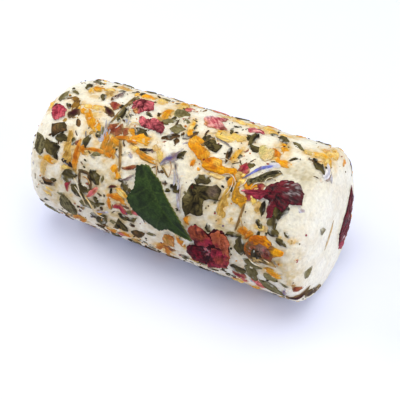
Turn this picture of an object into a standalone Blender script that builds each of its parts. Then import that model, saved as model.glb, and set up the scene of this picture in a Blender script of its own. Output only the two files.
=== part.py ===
"""Fresh goat cheese log, rolled in dried flower petals and herb leaves.

The log lies along X on a narrow flat strip, with its right end cap at +X and +Z up. The origin is
under its middle, on the table. A place on its side is written as seen on the unrolled skin: how far
along the log, in millimetres from its middle, and the angle round it in degrees, counted from the
far side (0) over the top (90) to the near side (180).
"""

import math
import random

import bmesh
import bpy
from mathutils import Vector, noise

MM = 0.001

# Driving dimensions, in millimetres
LENGTH = 92.5
RADIUS = 22.5
FLAT_DEPTH = 0.45
LEFT_ROUND = 7.6
RIGHT_ROUND = 15.1
RELIEF = 0.25
RELIEF_SPACING = 7.0
GAP = 0.34
TOPPING_THICKNESS = 0.5

# Small toppings: how far they stand up, how deep they go, and from which size they get more facets
FLAKE_TOP = 0.5
FLAKE_DEPTH = 1.3
FLAKE_SWELL = (0.05, 0.3)
FLAKE_WAVE = 0.12
FLAKE_WAVES = 5
LONG_FLAKE = 5.5
WIDE_FLAKE = 3.4

# How the rounded rims change round the log, and how the ends lean
LEFT_REACH = 1.09
LEFT_SWING = 0.30
LEFT_SWING_FROM = math.radians(35)
RIGHT_REACH = 0.40
RIGHT_SWING = 0.17
RIGHT_SWING_FROM = math.radians(-12)
TAPER = 0.077
TAPER_POWER = 3.7
RIGHT_LEAN_Y = 0.070
RIGHT_LEAN_Z = -0.091
LEFT_LEAN_Y = -0.039
LEFT_LEAN_Z = -0.016

# Where the log's middle lies over the origin
CENTRE_X = -0.27
CENTRE_Y = 0.20
AXIS_HEIGHT = RADIUS - FLAT_DEPTH

# A place on the side stays this far from the ends, and a slope is measured over this step
END_MARGIN = 0.4
SLOPE_STEP = 0.3

# Facets of the plain log
FACETS_ROUND = 40
FACETS_ALONG = 26

# Share of the rings that each stretch of the profile takes, from the left pole to the right one
PROFILE_STOPS = (0.0, 0.09, 0.25, 0.76, 0.91, 1.0)


def smooth_step(value):
    value = min(1.0, max(0.0, value))
    return value * value * (3 - 2 * value)


def left_round(angle):
    return LEFT_ROUND * (1 + LEFT_SWING * math.cos(angle - LEFT_SWING_FROM))


def right_round(angle):
    return RIGHT_ROUND * (1 + RIGHT_SWING * math.cos(angle - RIGHT_SWING_FROM))


def quarter(share):
    """How far a quarter circle has dropped, as a share of its radius."""
    share = min(1.0, max(0.0, share))
    return 1 - math.sqrt(1 - share * share)


def skin_radius(along, angle):
    """Distance from the axis to the cheese's skin at this place on the side."""
    left = left_round(angle)
    right = right_round(angle)
    radius = RADIUS
    radius -= left * quarter(1 - (along + LENGTH / 2) / (left * LEFT_REACH))
    radius -= right * quarter(1 - (LENGTH / 2 - along) / (right * RIGHT_REACH))
    return radius * taper(along)


def taper(along):
    return 1 - TAPER * max(0.0, -2 * along / LENGTH) ** TAPER_POWER


def settle(along, across, height):
    """Leans the ends, adds the soft lumps and sets the point in the part's frame, in millimetres."""
    right = smooth_step(along / LENGTH + 0.5) ** 2
    left = smooth_step(0.5 - along / LENGTH) ** 2
    shift = right * (RIGHT_LEAN_Y * across + RIGHT_LEAN_Z * height)
    shift += left * (LEFT_LEAN_Y * across + LEFT_LEAN_Z * height)
    point = Vector((along + shift + CENTRE_X, across + CENTRE_Y, height + AXIS_HEIGHT))
    lump = RELIEF * noise.noise(point / RELIEF_SPACING)
    outward = Vector((0.4 * along / LENGTH, across / RADIUS, height / RADIUS))
    return point + outward * lump


def on_side(along, degrees):
    reach = LENGTH / 2 - END_MARGIN
    along = min(reach, max(-reach, along))
    angle = math.radians(degrees)
    radius = skin_radius(along, angle)
    return settle(along, radius * math.cos(angle), radius * math.sin(angle))


def on_cap(across, height, end=1):
    """A place on an end cap: end is 1 for the right one and -1 for the left one."""
    angle = math.atan2(height, across)
    ring = math.hypot(across, height)
    if end > 0:
        edge = right_round(angle)
        reach = edge * RIGHT_REACH
    else:
        edge = left_round(angle)
        reach = edge * LEFT_REACH
    drop = quarter((ring - RADIUS + edge) / edge)
    return settle(end * (LENGTH / 2 - reach * drop), across, height)


def outward(point):
    """Roughly which way is out of the cheese here: away from its axis, or off its end."""
    spine = (LENGTH - RADIUS) / 2
    nearest = max(-spine, min(spine, point.x))
    return point - Vector((nearest, CENTRE_Y, AXIS_HEIGHT))


def lifted(where, first, second, lift):
    """The skin's point at this place, moved out along the skin's normal by lift."""
    step = SLOPE_STEP
    point = where(first, second)
    one = where(first + step, second) - where(first - step, second)
    other = where(first, second + step) - where(first, second - step)
    normal = one.cross(other).normalized()
    if normal.dot(outward(point)) < 0:
        normal.negate()
    return point + normal * lift


# Degrees of turn for each millimetre of arc on the side
DEGREES_PER_MM = math.degrees(1 / RADIUS)


def new_object(name, mesh_maker, material):
    mesh = bpy.data.meshes.new(name)
    bm = bmesh.new()
    mesh_maker(bm)
    bmesh.ops.scale(bm, vec=(MM, MM, MM), verts=bm.verts)
    bmesh.ops.recalc_face_normals(bm, faces=bm.faces)
    bm.to_mesh(mesh)
    bm.free()
    mesh.materials.append(material)
    obj = bpy.data.objects.new(name, mesh)
    return obj


def new_material(name, hex_colour, roughness):
    """A plain dielectric of this sRGB colour."""
    channels = [int(hex_colour[i : i + 2], 16) / 255 for i in (1, 3, 5)]
    linear = [c / 12.92 if c < 0.04045 else ((c + 0.055) / 1.055) ** 2.4 for c in channels]
    material = bpy.data.materials.new(name)
    material.diffuse_color = (*linear, 1)
    material.use_nodes = True
    shader = material.node_tree.nodes["Principled BSDF"]
    shader.inputs["Base Color"].default_value = (*linear, 1)
    shader.inputs["Roughness"].default_value = roughness
    shader.inputs["Metallic"].default_value = 0
    return material


# The cheese


def profile(share, angle):
    """The profile's point (along, radius) at this share of its rings, from the left pole."""
    left = left_round(angle)
    right = right_round(angle)
    stops = PROFILE_STOPS
    part = max(i for i in range(5) if share >= stops[i])
    inside = (share - stops[part]) / (stops[part + 1] - stops[part])
    if part == 0:
        return -LENGTH / 2, (RADIUS - left) * inside
    if part == 1:
        turn = inside * math.pi / 2
        drop = left * LEFT_REACH * (1 - math.cos(turn))
        return -LENGTH / 2 + drop, RADIUS - left + left * math.sin(turn)
    if part == 2:
        start = -LENGTH / 2 + left * LEFT_REACH
        end = LENGTH / 2 - right * RIGHT_REACH
        return start + (end - start) * inside, RADIUS
    if part == 3:
        turn = (1 - inside) * math.pi / 2
        drop = right * RIGHT_REACH * (1 - math.cos(turn))
        return LENGTH / 2 - drop, RADIUS - right + right * math.sin(turn)
    return LENGTH / 2, (RADIUS - right) * (1 - inside)


def cheese_mesh(bm):
    """A ball whose rings are moved onto the log's profile, pressed flat underneath."""
    bmesh.ops.create_uvsphere(
        bm, u_segments=FACETS_ROUND, v_segments=FACETS_ALONG, radius=1
    )
    for vertex in bm.verts:
        angle = math.atan2(vertex.co.y, vertex.co.x)
        share = 1 - math.acos(max(-1.0, min(1.0, vertex.co.z))) / math.pi
        along, radius = profile(share, angle)
        radius *= taper(along)
        point = settle(along, radius * math.cos(angle), radius * math.sin(angle))
        point.z = max(0.0, point.z)
        vertex.co = point


# Small toppings: petals, leaf flakes and stems pressed into the skin

# Each row: along, degrees, length, width, heading, bend. The heading is the turn of the long axis
# from the log's axis towards the near side, and the bend is how far each half of it turns.
FLAKES = (
    (-34.9, 82, 3.8, 1.9, 80, 0),
    (-40.0, 99, 4.2, 2.9, 80, 0),
    (-34.0, 134.6, 4.2, 2.1, -5, 0),
    (-36.0, 145.2, 4.6, 4.0, 60, 0),
    (-25.9, 131.5, 4.5, 2.2, -65, 0),
    (-21.7, 138.5, 2.5, 2.1, 0, 0),
    (-29.2, 159.8, 4.6, 3.8, 0, 0),
    (-25.9, 171, 4.8, 3.1, 20, 0),
    (-36.5, 172, 4.2, 2.7, -10, 0),
    (-20.5, 154.4, 4.6, 3.0, 60, 0),
    (-22.0, 178, 5.4, 3.0, 10, 0),
    (-18.2, 190.5, 6.0, 2.6, -60, 0),
    (-19.0, 104.0, 4.4, 1.9, 85, 0),
    (-11.0, 112.4, 4.9, 2.0, 0, 0),
    (-1.8, 108.6, 5.4, 1.6, -25, 0),
    (-5.2, 95.6, 4.2, 2.3, -25, 0),
    (-1.2, 100.2, 3.8, 3.0, 0, 0),
    (-10.4, 154, 3.0, 2.0, 45, 0),
    (-10.3, 178.8, 2.8, 1.8, 10, 0),
    (-7.2, 178.3, 3.2, 1.5, -40, 0),
    (3.3, 101.8, 4.5, 1.9, -40, 0),
    (16.7, 108.3, 4.5, 1.7, 75, 0),
    (3.8, 119, 3.0, 1.5, -70, 0),
    (12.7, 131, 4.5, 2.8, 5, 0),
    (5.3, 143.4, 3.4, 1.5, 15, 0),
    (20.4, 87.5, 5.6, 2.0, 85, 0),
    (22.9, 96.4, 4.4, 2.0, 20, 0),
    (26.0, 97, 5.0, 4.6, 90, 0),
    (27.8, 76.5, 5.2, 2.0, 45, 0),
    (32.8, 79.5, 4.8, 1.7, 40, 0),
    (39.0, 90.2, 2.3, 1.8, 40, 0),
    (41.8, 94, 3.8, 2.5, 30, 0),
    (35.6, 144.5, 4.0, 2.5, 75, 0),
    (36.6, 150.2, 3.4, 2.2, 0, 0),
    (39.3, 155.0, 3.3, 1.4, 15, 0),
    (27.9, 167.5, 4.8, 3.2, 65, 0),
    (31.0, 189, 7.0, 4.2, 95, 0),
    (31.6, 180, 4.6, 2.8, 0, 0),
    (37.0, 187, 4.2, 2.6, 0, 0),
    (36.6, 201, 6.4, 5.0, 20, 0),
    (27.2, 190.6, 4.6, 3.0, -10, 0),
)
PETALS = (
    (-32.3, 84, 4.4, 2.3, 85, 0),
    (-27.1, 84, 3.6, 1.6, 90, 0),
    (-29.8, 103.6, 6.6, 1.9, -15, 30),
    (-27.0, 113.3, 9.2, 2.6, 38, -10),
    (-35.8, 103.6, 4.5, 2.7, 10, 0),
    (-33.4, 112.6, 4.3, 3.4, 30, 0),
    (-43.4, 107.5, 4.4, 1.8, 75, 0),
    (-36.9, 153.6, 4.2, 2.0, -5, 0),
    (-27.7, 139.6, 4.6, 3.0, 10, 0),
    (-27.2, 147, 5.6, 2.4, 100, 0),
    (-31.4, 144.5, 5.2, 2.6, 95, 0),
    (-29.3, 168, 4.9, 1.5, 110, 0),
    (-23.0, 95.6, 3.6, 2.8, 0, 0),
    (-23.6, 102.8, 5.4, 1.8, 35, 0),
    (-18.7, 115.6, 4.9, 3.7, 0, 0),
    (-15.3, 114.4, 2.6, 2.4, 0, 0),
    (-11.3, 172.8, 5.2, 2.2, 0, 0),
    (-5.8, 170.6, 3.8, 1.7, 0, 0),
    (-20.9, 167, 5.6, 1.4, -50, 0),
    (-7.2, 87.6, 6.0, 2.4, 95, 0),
    (-10.4, 117.8, 6.4, 3.0, 0, 0),
    (-18.1, 130.4, 5.6, 4.2, 80, 0),
    (-5.6, 129.8, 8.0, 1.9, 12, -12),
    (-14.3, 145.4, 4.0, 2.8, 100, 0),
    (-10.9, 158.6, 5.4, 2.2, 30, 20),
    (-12.8, 164.8, 7.0, 2.0, 8, 0),
    (-24.4, 82.5, 6.0, 1.5, 95, 0),
    (-20.9, 118.5, 6.8, 1.5, 75, 0),
    (1.9, 93, 5.4, 1.5, 72, 0),
    (12.9, 93.4, 7.4, 3.0, 0, 0),
    (18.9, 106, 5.2, 1.7, 92, 0),
    (20.8, 142, 9.6, 2.2, 92, 0),
    (10.8, 162.5, 3.0, 1.4, 95, 0),
    (8.9, 183, 5.0, 1.8, 65, 0),
    (1.3, 123, 7.6, 1.6, -50, 0),
    (22.9, 114.6, 3.9, 2.1, 90, 0),
    (29.9, 86.5, 5.8, 2.0, 62, 0),
    (28.6, 94.2, 4.8, 1.7, 65, 0),
    (31.9, 100.4, 6.2, 2.1, 12, 0),
    (41.6, 70, 7.0, 2.0, 90, 0),
    (39.6, 81.8, 6.2, 2.6, -5, 0),
    (28.0, 156.6, 3.8, 2.1, 0, 0),
    (37.5, 181.6, 5.2, 2.4, 0, 0),
    (26.9, 197.4, 4.2, 3.0, 0, 0),
    (32.4, 200.4, 6.0, 3.2, 95, 0),
    (2.0, 203.5, 6.6, 5.6, 20, 0),
    (-27.6, 204, 5.6, 4.2, 30, 0),
    (-6.0, 67, 6.0, 3.0, 80, 0),
    (-16.6, 73, 4.0, 3.0, 60, 0),
    (-12.4, 72, 4.4, 2.6, 60, 0),
    (21.2, 66, 4.8, 4.0, 90, 0),
)
STEMS = (
    (-20.2, 100.5, 8.6, 1.4, 96, 14),
    (-14.0, 134, 9.6, 0.9, 72, 12),
    (26.4, 148.4, 7.6, 0.9, 97, 0),
    (-30.2, 150.6, 4.3, 1.2, 14, 0),
    (-6.9, 123.8, 4.5, 1.1, -14, 0),
)

# Rows for the end caps: end, across, height, length, width, heading, bend, in the cap's own plane
CAP_FLAKES = (
    (1, -5.4, 2.9, 8.6, 0.9, 48, 0),
    (1, -9.7, 7.8, 2.4, 2.0, 80, 0),
    (1, -16.9, -1.7, 3.8, 2.6, 70, 0),
    (1, -11.6, -13.0, 4.4, 1.6, -40, 0),
    (1, 9.6, 16.4, 3.0, 1.4, -15, 0),
    (-1, -9.5, 5.0, 6.4, 3.0, 55, 0),
    (-1, 7.5, -8.0, 5.2, 3.0, -50, 0),
    (-1, 5.5, 11.5, 4.6, 2.4, 15, 0),
    (-1, -5.0, -9.5, 4.6, 2.2, 80, 0),
)

# The far side and the underside, which carry the same mix of toppings
HIDDEN_FROM = 212
HIDDEN_TO = 417
UNDERSIDE = (246, 294)
HIDDEN_TRIES = 900
HIDDEN_FUSED = 74
HIDDEN_SPACING = 5.6
HIDDEN_SEED = 41
HIDDEN_REACH = 43
HIDDEN_LENGTHS = (0.65, 1.35)
HIDDEN_WIDTHS = (0.75, 1.3)
FUSED_LEAST_AREA = 7.0

# Each kind's share, mean length, mean width and most bend
HIDDEN_KINDS = {
    "flake": (10, 4.4, 2.8, 0),
    "petal": (9, 6.2, 2.5, 25),
    "stem": (1, 8.0, 0.9, 25),
}


def hidden_toppings():
    """Rows like those above for the side that faces away, drawn by a seeded rule."""
    draw = random.Random(HIDDEN_SEED)
    shares = [values[0] for values in HIDDEN_KINDS.values()]
    rows = []
    for _ in range(HIDDEN_TRIES):
        along = draw.uniform(-HIDDEN_REACH, HIDDEN_REACH)
        degrees = draw.uniform(HIDDEN_FROM, HIDDEN_TO)
        kind = draw.choices(list(HIDDEN_KINDS), shares)[0]
        _, mean_length, mean_width, most_bend = HIDDEN_KINDS[kind]
        length = mean_length * draw.uniform(*HIDDEN_LENGTHS)
        width = mean_width * draw.uniform(*HIDDEN_WIDTHS)
        heading = draw.uniform(0, 180)
        bend = draw.uniform(-most_bend, most_bend)
        near = (length + HIDDEN_SPACING) / 2
        if any(
            math.hypot(along - row[1], (degrees - row[2]) / DEGREES_PER_MM) < near
            for row in rows
        ):
            continue
        rows.append((kind, along, degrees, length, width, heading, bend))
    return rows


# Share of the half width at five stations from one tip to the other, and how far it strays
PLANS = {
    "flake": ((0.55, 0.95, 1.0, 0.85, 0.4), 0.3),
    "petal": ((0.3, 0.7, 1.0, 0.95, 0.5), 0.12),
    "stem": ((0.6, 1.0, 1.0, 0.9, 0.5), 0.1),
}


def half_widths(kind, draw):
    """The half widths at the five stations, on both sides of the long axis."""
    plan, ragged = PLANS[kind]
    return [[w * (1 + draw.uniform(-ragged, ragged)) for w in plan] for _ in range(2)]


def spread(row, station, offset):
    """Where a point of a topping lies, in mm from its own place: station -1 to 1 along it."""
    length, _, heading, bend = row[-4:]
    turned = math.radians(bend) * station
    if bend:
        curve = length / 2 / math.radians(bend)
        ahead = curve * math.sin(turned)
        aside = curve * (1 - math.cos(turned))
    else:
        ahead = length / 2 * station
        aside = 0.0
    ahead -= offset * math.sin(turned)
    aside += offset * math.cos(turned)
    direction = math.radians(heading)
    return (
        ahead * math.cos(direction) - aside * math.sin(direction),
        ahead * math.sin(direction) + aside * math.cos(direction),
    )


def spread_on_side(row, station, offset):
    """The same point as a place on the unrolled skin: millimetres along and degrees round."""
    ahead, across = spread(row, station, offset)
    return row[0] + ahead, row[1] + across * DEGREES_PER_MM


def flake_mesh(kind, row, place):
    """A thin slab on the skin, with its lower half sunk in the cheese so that it fuses."""
    draw = random.Random(f"{kind} {row[0]:.1f} {row[1]:.1f}")
    widths = half_widths(kind, draw)
    length, width = row[-4:-2]
    columns = 4 if length > LONG_FLAKE else 3
    rows = 2 if width > WIDE_FLAKE else 1
    swell = draw.uniform(*FLAKE_SWELL)

    def make(bm):
        bmesh.ops.create_grid(bm, x_segments=columns, y_segments=rows, size=1)
        for vertex in bm.verts:
            station, side, _ = vertex.co
            pair = widths[0 if side < 0 else 1]
            rank = (station + 1) / 2 * (len(pair) - 1)
            low = min(len(pair) - 2, int(rank))
            half = pair[low] + (pair[low + 1] - pair[low]) * (rank - low)
            wave = FLAKE_WAVE * math.sin(FLAKE_WAVES * station + row[0])
            top = FLAKE_TOP + swell * (1 - abs(side)) + wave
            vertex.co = place(row, station, side * half * width / 2, top)
        thicken(bm, FLAKE_DEPTH)

    return make


def flake_on_side(row, station, offset, lift):
    return lifted(on_side, *spread_on_side(row, station, offset), lift)


def flake_on_cap(row, station, offset, lift):
    ahead, across = spread(row, station, offset)
    return lifted(cap(row[0]), row[1] + ahead, row[2] + across, lift)


def cap(end):
    return lambda across, height: on_cap(across, height, end)


def thicken(bm, thickness):
    """Turns an open sheet to face away from the cheese, and gives it a thickness inwards."""
    bmesh.ops.triangulate(bm, faces=bm.faces)
    bmesh.ops.recalc_face_normals(bm, faces=bm.faces)
    facing = sum(
        face.calc_area() * face.normal.dot(outward(face.calc_center_median()))
        for face in bm.faces
    )
    if facing < 0:
        bmesh.ops.reverse_faces(bm, faces=bm.faces)
    bmesh.ops.solidify(bm, geom=bm.faces[:], thickness=thickness)


# Large toppings, each a piece of its own: its outline on the unrolled skin, its crumple and colour

GREEN_LEAF = (
    (-7.8, 136), (-4.5, 133.3), (-2.4, 137), (0.8, 141.5), (2.8, 148), (5.6, 154.5), (8.2, 161),
    (10.6, 168.5), (13.0, 177.6), (9.4, 176.5), (5.2, 174), (2, 177.8), (-3, 172.3), (-6.8, 167),
    (-8.9, 160.5), (-7.1, 151), (-7.5, 143),
)
ROSE_BLOOM = (
    (12.4, 168), (13.4, 163), (16, 164.3), (18, 166.5), (19.2, 162), (22, 160.8), (24.2, 166),
    (24.8, 174), (24.4, 186), (23, 194), (19, 198), (16.2, 199), (13, 198), (11.4, 192),
    (11.2, 184.5), (13.6, 180.5),
)
WINE_PETAL = (
    (24.4, 130.2), (27, 127.6), (30, 125.6), (31.6, 120.5), (34, 115.5), (36.5, 112.6), (39, 113),
    (41.2, 119), (41.6, 126.5), (38.8, 129), (37.8, 135), (35.4, 133.5), (35.2, 140),
    (33.9, 142.5), (33.1, 136), (33.1, 131.5), (31.2, 130.3), (29.8, 132.6), (27.5, 131.2),
)
PINK_PETAL_LEFT = (
    (-41.5, 111), (-40.6, 108.6), (-39, 109.2), (-37.5, 109.6), (-36, 112), (-35.8, 117),
    (-36.8, 120.4), (-38.2, 123), (-39.2, 121.8), (-40.2, 119), (-41, 115),
)
CALYX = (
    (-38.6, 126.2), (-36.8, 123.9), (-34.9, 122), (-33.7, 124.5), (-32.9, 128), (-34.4, 130),
    (-35.6, 132), (-36.8, 136), (-37.8, 133.5), (-38.6, 129),
)
OLIVE_LEAF_LEFT = (
    (-43.5, 135.8), (-41, 136.6), (-39.2, 140), (-38.9, 145), (-39.0, 149.5), (-40, 152.5),
    (-42, 150.3), (-43.2, 147), (-43, 141),
)
STRIATED_LEAF = (
    (-30.8, 178), (-29.2, 181.5), (-27.6, 187), (-27, 193), (-28, 198.5), (-29.5, 200.5),
    (-31.5, 197.5), (-33.3, 193), (-33.2, 186), (-32.2, 180.5),
)
ROSE_UPPER = (
    (-18.4, 86), (-17.2, 81.5), (-15.3, 80.6), (-13, 81.6), (-12.2, 86), (-11.3, 90.3),
    (-13.6, 94.3), (-14.3, 97), (-15.3, 98.4), (-16.6, 97), (-17.6, 94.5), (-18.2, 90),
)
ROSE_LOWER = (
    (-13.9, 99.6), (-11.5, 100), (-9.7, 97.6), (-7, 98.3), (-5.2, 101.5), (-4.4, 106), (-4.6, 109),
    (-7.2, 108.2), (-9, 108), (-11.3, 107.8), (-12.8, 106), (-13.5, 102),
)
PINK_FAN = (
    (3, 77), (4.5, 73.8), (7, 73), (9, 70), (9.4, 75), (8.8, 79), (10.5, 83.5), (12.2, 87),
    (9.3, 89), (6.2, 90), (4.4, 86), (3.4, 81.5),
)
ROSE_SMALL = (
    (16.7, 75.5), (18.5, 74.5), (20, 73), (21.8, 76), (21.4, 79), (19.6, 79.5), (18.1, 82.4),
    (17.2, 80.5),
)
ROUND_LEAF = (
    (-5.9, 78.5), (-4, 76.6), (-2.2, 79), (-1.2, 80.5), (-0.8, 83), (-2.2, 86), (-3, 88.4),
    (-4.6, 89), (-5.5, 86),
)
DARK_LEAF = (
    (8.4, 105.5), (9.5, 101), (11, 99.8), (11.8, 102.6), (13.6, 102), (13.6, 106.4),
    (13, 109.6), (11, 109.4), (9.6, 107.6),
)
MARIGOLD_PETAL = (
    (3.9, 105.5), (5.4, 103.6), (6.8, 106.4), (8.6, 109), (10.4, 113), (9.6, 118.6), (8.4, 117.4),
    (6.8, 114.6), (4.9, 112.6), (4.0, 109),
)
MARIGOLD_FOLD = (
    (10.8, 121.5), (11.3, 116.2), (13, 113.2), (15.6, 114), (17.2, 118), (20.6, 117.6),
    (20.3, 121.5), (17.8, 123.8), (14, 124), (11.7, 123.6),
)
AMBER_PETAL = (
    (22.5, 127), (23.4, 124.5), (24.4, 131.4), (27.1, 134), (26, 137), (24.3, 140),
    (22.8, 138), (22.4, 133),
)
CRUMPLED_LEAF = (
    (8.3, 148), (9.2, 141), (10, 136), (13, 134.9), (16, 133.4), (17.5, 131.9), (19.0, 134),
    (18.9, 141.5), (16.5, 142.5), (14.9, 144.5), (14.9, 149), (15.5, 154), (13.8, 156.5),
    (11.6, 156), (10.2, 159.4), (9.2, 155),
)
CORNFLOWER = (
    (23.4, 122.4), (25, 116.5), (26.8, 109.6), (28.5, 107), (30.4, 104.8), (30.3, 107.2),
    (28.8, 109.8), (27.2, 112.6), (25.6, 117),
)
CURL_LEAF = (
    (24.8, 122), (26.6, 118.6), (28.4, 114.5), (30.3, 110.5), (32.2, 107.6), (33.4, 109.6),
    (32.2, 114), (30.9, 117.6), (29.2, 120.4), (27, 122.6), (25.8, 125.6),
)
MARIGOLD_BLOOM = (
    (29.9, 172), (29.8, 164), (30.5, 159.5), (32, 156.4), (34.3, 153.8), (36, 155.8),
    (37.4, 158.9), (40.0, 160.4), (39.5, 164.5), (37.8, 167), (37, 171), (34.5, 174.4),
    (31.4, 174.6),
)
PEACH_PETAL = (
    (2.8, 187), (3.8, 181), (5.6, 179.4), (6.9, 182), (6.8, 188), (6.2, 192), (3.9, 192.4),
)
BROWN_LEAF = (
    (-8.2, 191.6), (-6, 187.4), (-3.2, 188), (-4, 193), (-6, 197.4), (-7.7, 195),
)
DARK_LEAF_LOW = (
    (-14.0, 194), (-13.0, 188), (-11.8, 181.6), (-10.6, 184.6), (-9.0, 189), (-9.2, 193.6),
    (-10.5, 194.6), (-11.9, 192.4), (-13, 195),
)

# The same on the flat ends: across and height from the axis, in mm
END_PETAL = (
    (10.8, 8.4), (12.0, 4.5), (11.3, -0.6), (9.3, -4.6), (6.6, -8.0), (3.0, -9.4),
    (1.2, -6.6), (1.6, -2.2), (4.0, 1.0), (7.0, 4.6),
)
LEFT_END_PETAL = (
    (-4.4, 2.6), (-2.6, 5.8), (1.2, 6.9), (4.6, 5.6), (7.8, 6.4), (9.2, 3.0), (7.6, -0.4),
    (5.2, -3.4), (1.4, -4.2), (-2.4, -2.0),
)
END_TOPPINGS = (
    ("end_petal", END_PETAL, 1, (6.3, -1.8), 0.35, 0.55, 4, "#5E1426", 0.4),
    ("left_end_petal", LEFT_END_PETAL, -1, (2.8, 1.6), 0.35, 0.55, 5, "#A83850", 0.5),
)

# name, outline, its middle, crumple in mm, rise of the middle in mm, fold count, colour, roughness
LARGE_TOPPINGS = (
    ("green_leaf", GREEN_LEAF, (-1.0, 157), 0.30, 0.25, 3, "#2F4A26", 0.55),
    ("rose_bloom", ROSE_BLOOM, (18.8, 180), 0.55, 1.30, 7, "#7B2634", 0.5),
    ("wine_petal", WINE_PETAL, (33.9, 124), 0.30, 0.70, 4, "#6B1830", 0.35),
    ("pink_petal_left", PINK_PETAL_LEFT, (-38.5, 115), 0.30, 0.40, 4, "#B23C58", 0.5),
    ("calyx", CALYX, (-36.3, 128.4), 0.25, 0.35, 2, "#5A4A28", 0.6),
    ("olive_leaf_left", OLIVE_LEAF_LEFT, (-41.0, 143), 0.20, 0.20, 2, "#5B5534", 0.6),
    ("striated_leaf", STRIATED_LEAF, (-30.3, 189.6), 0.20, 0.25, 3, "#574636", 0.6),
    ("rose_upper", ROSE_UPPER, (-15.3, 88.5), 0.40, 0.70, 6, "#AE3C57", 0.5),
    ("rose_lower", ROSE_LOWER, (-8.3, 103.7), 0.40, 0.60, 6, "#A03048", 0.5),
    ("pink_fan", PINK_FAN, (6.6, 81), 0.35, 0.45, 5, "#D0607A", 0.5),
    ("rose_small", ROSE_SMALL, (19.0, 77), 0.25, 0.35, 3, "#C05A68", 0.5),
    ("round_leaf", ROUND_LEAF, (-3.5, 82.7), 0.15, 0.20, 2, "#7C7A55", 0.6),
    ("dark_leaf", DARK_LEAF, (11.2, 105.6), 0.20, 0.30, 2, "#453F2C", 0.55),
    ("marigold_petal", MARIGOLD_PETAL, (6.6, 110), 0.25, 0.30, 2, "#E39A22", 0.45),
    ("marigold_fold", MARIGOLD_FOLD, (16.3, 120.5), 0.35, 0.60, 3, "#EE8F12", 0.45),
    ("amber_petal", AMBER_PETAL, (23.9, 134.5), 0.25, 0.35, 3, "#D08A24", 0.45),
    ("crumpled_leaf", CRUMPLED_LEAF, (12.5, 141.2), 0.40, 0.50, 4, "#45402F", 0.6),
    ("cornflower", CORNFLOWER, (27.1, 111), 0.10, 0.10, 2, "#8F93C8", 0.5),
    ("curl_leaf", CURL_LEAF, (27.6, 119), 0.30, 0.35, 3, "#6A6340", 0.6),
    ("marigold_bloom", MARIGOLD_BLOOM, (34.1, 164.2), 0.45, 0.90, 6, "#C2701E", 0.5),
    ("peach_petal", PEACH_PETAL, (5.0, 186.5), 0.25, 0.40, 2, "#B88450", 0.5),
    ("brown_leaf", BROWN_LEAF, (-5.9, 192.2), 0.20, 0.25, 2, "#5C4728", 0.6),
    ("dark_leaf_low", DARK_LEAF_LOW, (-11.4, 188), 0.30, 0.35, 3, "#38342C", 0.6),
)

# The far side carries the same shapes again: name, whose shape, along, degrees, turn, size
FAR_TOPPINGS = (
    ("far_leaf", "green_leaf", 19.0, 341, 151, 0.85),
    ("far_rose", "rose_bloom", -21.0, 346, 150, 0.85),
    ("far_pink_petal", "rose_upper", 35.0, 369, 60, 1.0),
    ("far_rose_petals", "rose_lower", -4.0, 367, 115, 1.1),
    ("far_wine_petal", "wine_petal", -36.5, 320, 160, 0.8),
    ("far_marigold", "marigold_bloom", -4.5, 327, 70, 0.9),
    ("far_marigold_fold", "marigold_fold", 37.5, 335, 100, 1.0),
    ("far_marigold_petal", "marigold_petal", -37.0, 366, 35, 1.15),
    ("far_olive_leaf", "striated_leaf", 10.0, 373, 75, 0.9),
)
TOPPING_RINGS = 3
TOPPING_MARGIN = 0.75
RIPPLE_SHARE = 0.3
RIPPLE_PLANE = 7.0


def moved(outline, middle, along, degrees, turn, size):
    """The same outline with its middle at another place on the side, turned and scaled."""
    direction = math.radians(turn)
    points = []
    for x, y in outline:
        ahead = (x - middle[0]) * size
        aside = (y - middle[1]) / DEGREES_PER_MM * size
        new_ahead = ahead * math.cos(direction) - aside * math.sin(direction)
        new_aside = ahead * math.sin(direction) + aside * math.cos(direction)
        points.append((along + new_ahead, degrees + new_aside * DEGREES_PER_MM))
    return tuple(points)


def side_toppings():
    """Every large topping on the side: name, outline, middle, crumple, rise, folds and finish."""
    rows = {row[0]: row[1:] for row in LARGE_TOPPINGS}
    for name, like, along, degrees, turn, size in FAR_TOPPINGS:
        outline, middle, *rest = rows[like]
        new_outline = moved(outline, middle, along, degrees, turn, size)
        rows[name] = (new_outline, (along, degrees), *rest)
    return rows


def topping_mesh(outline, middle, crumple, rise, folds, lay=on_side):
    """A thin wavy sheet whose spokes run from its middle to each point of its outline."""
    spokes = len(outline)

    def make(bm):
        bmesh.ops.create_grid(bm, x_segments=spokes, y_segments=TOPPING_RINGS, size=1)
        for vertex in bm.verts:
            spoke = round((vertex.co.x + 1) / 2 * spokes) % spokes
            ring = (vertex.co.y + 1) / 2
            first = middle[0] + (outline[spoke][0] - middle[0]) * ring
            second = middle[1] + (outline[spoke][1] - middle[1]) * ring
            wave = crumple * ring * (0.5 + 0.5 * math.sin(folds * math.tau * spoke / spokes))
            place = Vector((first, second / 3, RIPPLE_PLANE))
            ripple = RIPPLE_SHARE * crumple * (1 + noise.noise(place))
            lift = GAP + TOPPING_THICKNESS + rise * (1 - ring * ring) + wave + ripple
            vertex.co = lifted(lay, first, second, lift)
        bmesh.ops.remove_doubles(bm, verts=bm.verts, dist=0.01)
        thicken(bm, TOPPING_THICKNESS)

    return make


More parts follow.
